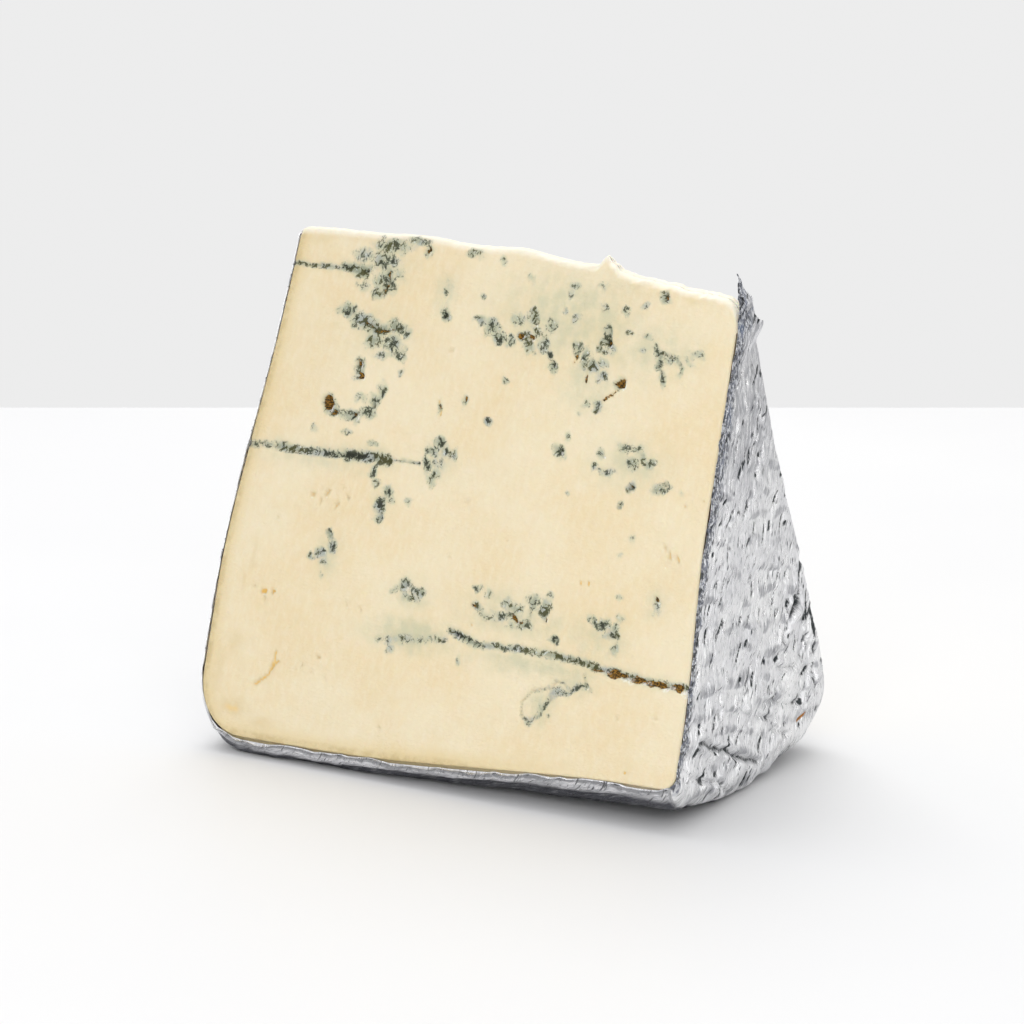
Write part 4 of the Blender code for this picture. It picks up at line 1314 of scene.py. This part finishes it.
CAMERA_AZIMUTH = math.radians(30.9)
CAMERA_ELEVATION = math.radians(13.452)
CAMERA_DISTANCE = 657.1
CAMERA_LENS = 119.5
CAMERA_SENSOR = 36.0
LOOK_ASIDE = (1.17, -1.43, -2.14)
FLOOR_BEHIND = 328.0
FLOOR_BEFORE = 900.0
FLOOR_SIDEWAYS = 900.0

# Each light: its place as turned() takes it, its width, its height and its power in watts.
SOFTBOXES = {
    "softbox_above": ((-40.0, -340.0, 700.0), 560.0, 560.0, 2.6),
    "softbox_front": ((0.0, 800.0, 330.0), 700.0, 520.0, 2.72),
}
LIT_HEIGHT = 40.0

# The room is lit from all round, but less from the camera's side. Its wall looks the same pale grey anywhere.
ROOM_GREY = 0.805
WALL_STRENGTH = 1.05
ROOM_STRENGTH = 1.04
ROOM_STRENGTH_IN_FRONT = 0.18
DARKER_FROM = 0.45
DARKEST_FROM = 0.95
DARKEST_BELOW = -0.15


def towards_camera(elevation):
    return Vector((
        math.sin(CAMERA_AZIMUTH) * math.cos(elevation),
        -math.cos(CAMERA_AZIMUTH) * math.cos(elevation),
        math.sin(elevation),
    ))


def make_camera(centre):
    back = towards_camera(CAMERA_ELEVATION)
    camera = bpy.data.objects.new("camera", bpy.data.cameras.new("camera"))
    camera.data.lens = CAMERA_LENS
    camera.data.sensor_width = CAMERA_SENSOR
    camera.data.clip_start = 0.01
    camera.location = centre + Vector(LOOK_ASIDE) * MM + back * CAMERA_DISTANCE * MM
    camera.rotation_mode = "QUATERNION"
    camera.rotation_quaternion = (-back).to_track_quat("-Z", "Y")
    bpy.context.scene.collection.objects.link(camera)
    bpy.context.scene.camera = camera


def turned(sideways, towards, height):
    """A place given as the camera sees it, level with the floor: to its right, nearer to it, and up."""
    right = Vector((math.cos(CAMERA_AZIMUTH), math.sin(CAMERA_AZIMUTH), 0.0))
    return (right * sideways + towards_camera(0.0) * towards + Vector((0.0, 0.0, height))) * MM


def make_floor():
    corners = [
        turned(-FLOOR_SIDEWAYS, -FLOOR_BEHIND, 0.0), turned(-FLOOR_SIDEWAYS, FLOOR_BEFORE, 0.0),
        turned(FLOOR_SIDEWAYS, FLOOR_BEFORE, 0.0), turned(FLOOR_SIDEWAYS, -FLOOR_BEHIND, 0.0),
    ]
    data = bpy.data.meshes.new("floor")
    data.from_pydata(corners, [], [(0, 1, 2, 3)])
    data.materials.append(floor_look())
    floor = bpy.data.objects.new("floor", data)
    bpy.context.scene.collection.objects.link(floor)


def add_softbox(name, spot, wide, high, power):
    """A rectangular light that faces the middle of the wedge."""
    light = bpy.data.lights.new(name, "AREA")
    light.shape = "RECTANGLE"
    light.size = wide * MM
    light.size_y = high * MM
    light.energy = power
    lamp = bpy.data.objects.new(name, light)
    lamp.location = spot
    lamp.rotation_mode = "QUATERNION"
    lamp.rotation_quaternion = (Vector((0.0, 0.0, LIT_HEIGHT * MM)) - spot).to_track_quat("-Z", "Y")
    bpy.context.scene.collection.objects.link(lamp)


def make_room():
    """The world: a pale wall to the camera, and light that depends on where it comes from."""
    world = bpy.data.worlds.new("studio")
    bpy.context.scene.world = world
    world.use_nodes = True
    nodes, links = world.node_tree.nodes, world.node_tree.links
    sky = nodes["Background"]
    sky.inputs["Color"].default_value = (ROOM_GREY, ROOM_GREY, ROOM_GREY, 1.0)
    facing = nodes.new("ShaderNodeVectorMath")
    facing.operation = "DOT_PRODUCT"
    links.new(nodes.new("ShaderNodeTexCoord").outputs["Generated"], facing.inputs[0])
    facing.inputs[1].default_value = (math.sin(CAMERA_AZIMUTH), -math.cos(CAMERA_AZIMUTH), DARKEST_BELOW)
    spread = nodes.new("ShaderNodeMapRange")
    spread.interpolation_type = "SMOOTHSTEP"
    links.new(facing.outputs["Value"], spread.inputs["Value"])
    spread.inputs["From Min"].default_value = DARKER_FROM
    spread.inputs["From Max"].default_value = DARKEST_FROM
    spread.inputs["To Min"].default_value = ROOM_STRENGTH
    spread.inputs["To Max"].default_value = ROOM_STRENGTH_IN_FRONT
    strength = nodes.new("ShaderNodeMix")
    links.new(nodes.new("ShaderNodeLightPath").outputs["Is Camera Ray"], strength.inputs[0])
    links.new(spread.outputs["Result"], strength.inputs[2])
    strength.inputs[3].default_value = WALL_STRENGTH
    links.new(strength.outputs[0], sky.inputs["Strength"])


def main():
    make_camera((cad_box[0] + cad_box[1]) / 2)
    make_floor()
    for name, (spot, wide, high, power) in SOFTBOXES.items():
        add_softbox(name, turned(*spot), wide, high, power)
    make_room()
    bpy.context.scene.view_settings.view_transform = "Standard"

    cheese = make_cheese(cheese_look())
    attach(cheese, "root")
    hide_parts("cheese")

    foil = make_foil(foil_look())
    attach(foil, "root")
    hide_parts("foil")


main()
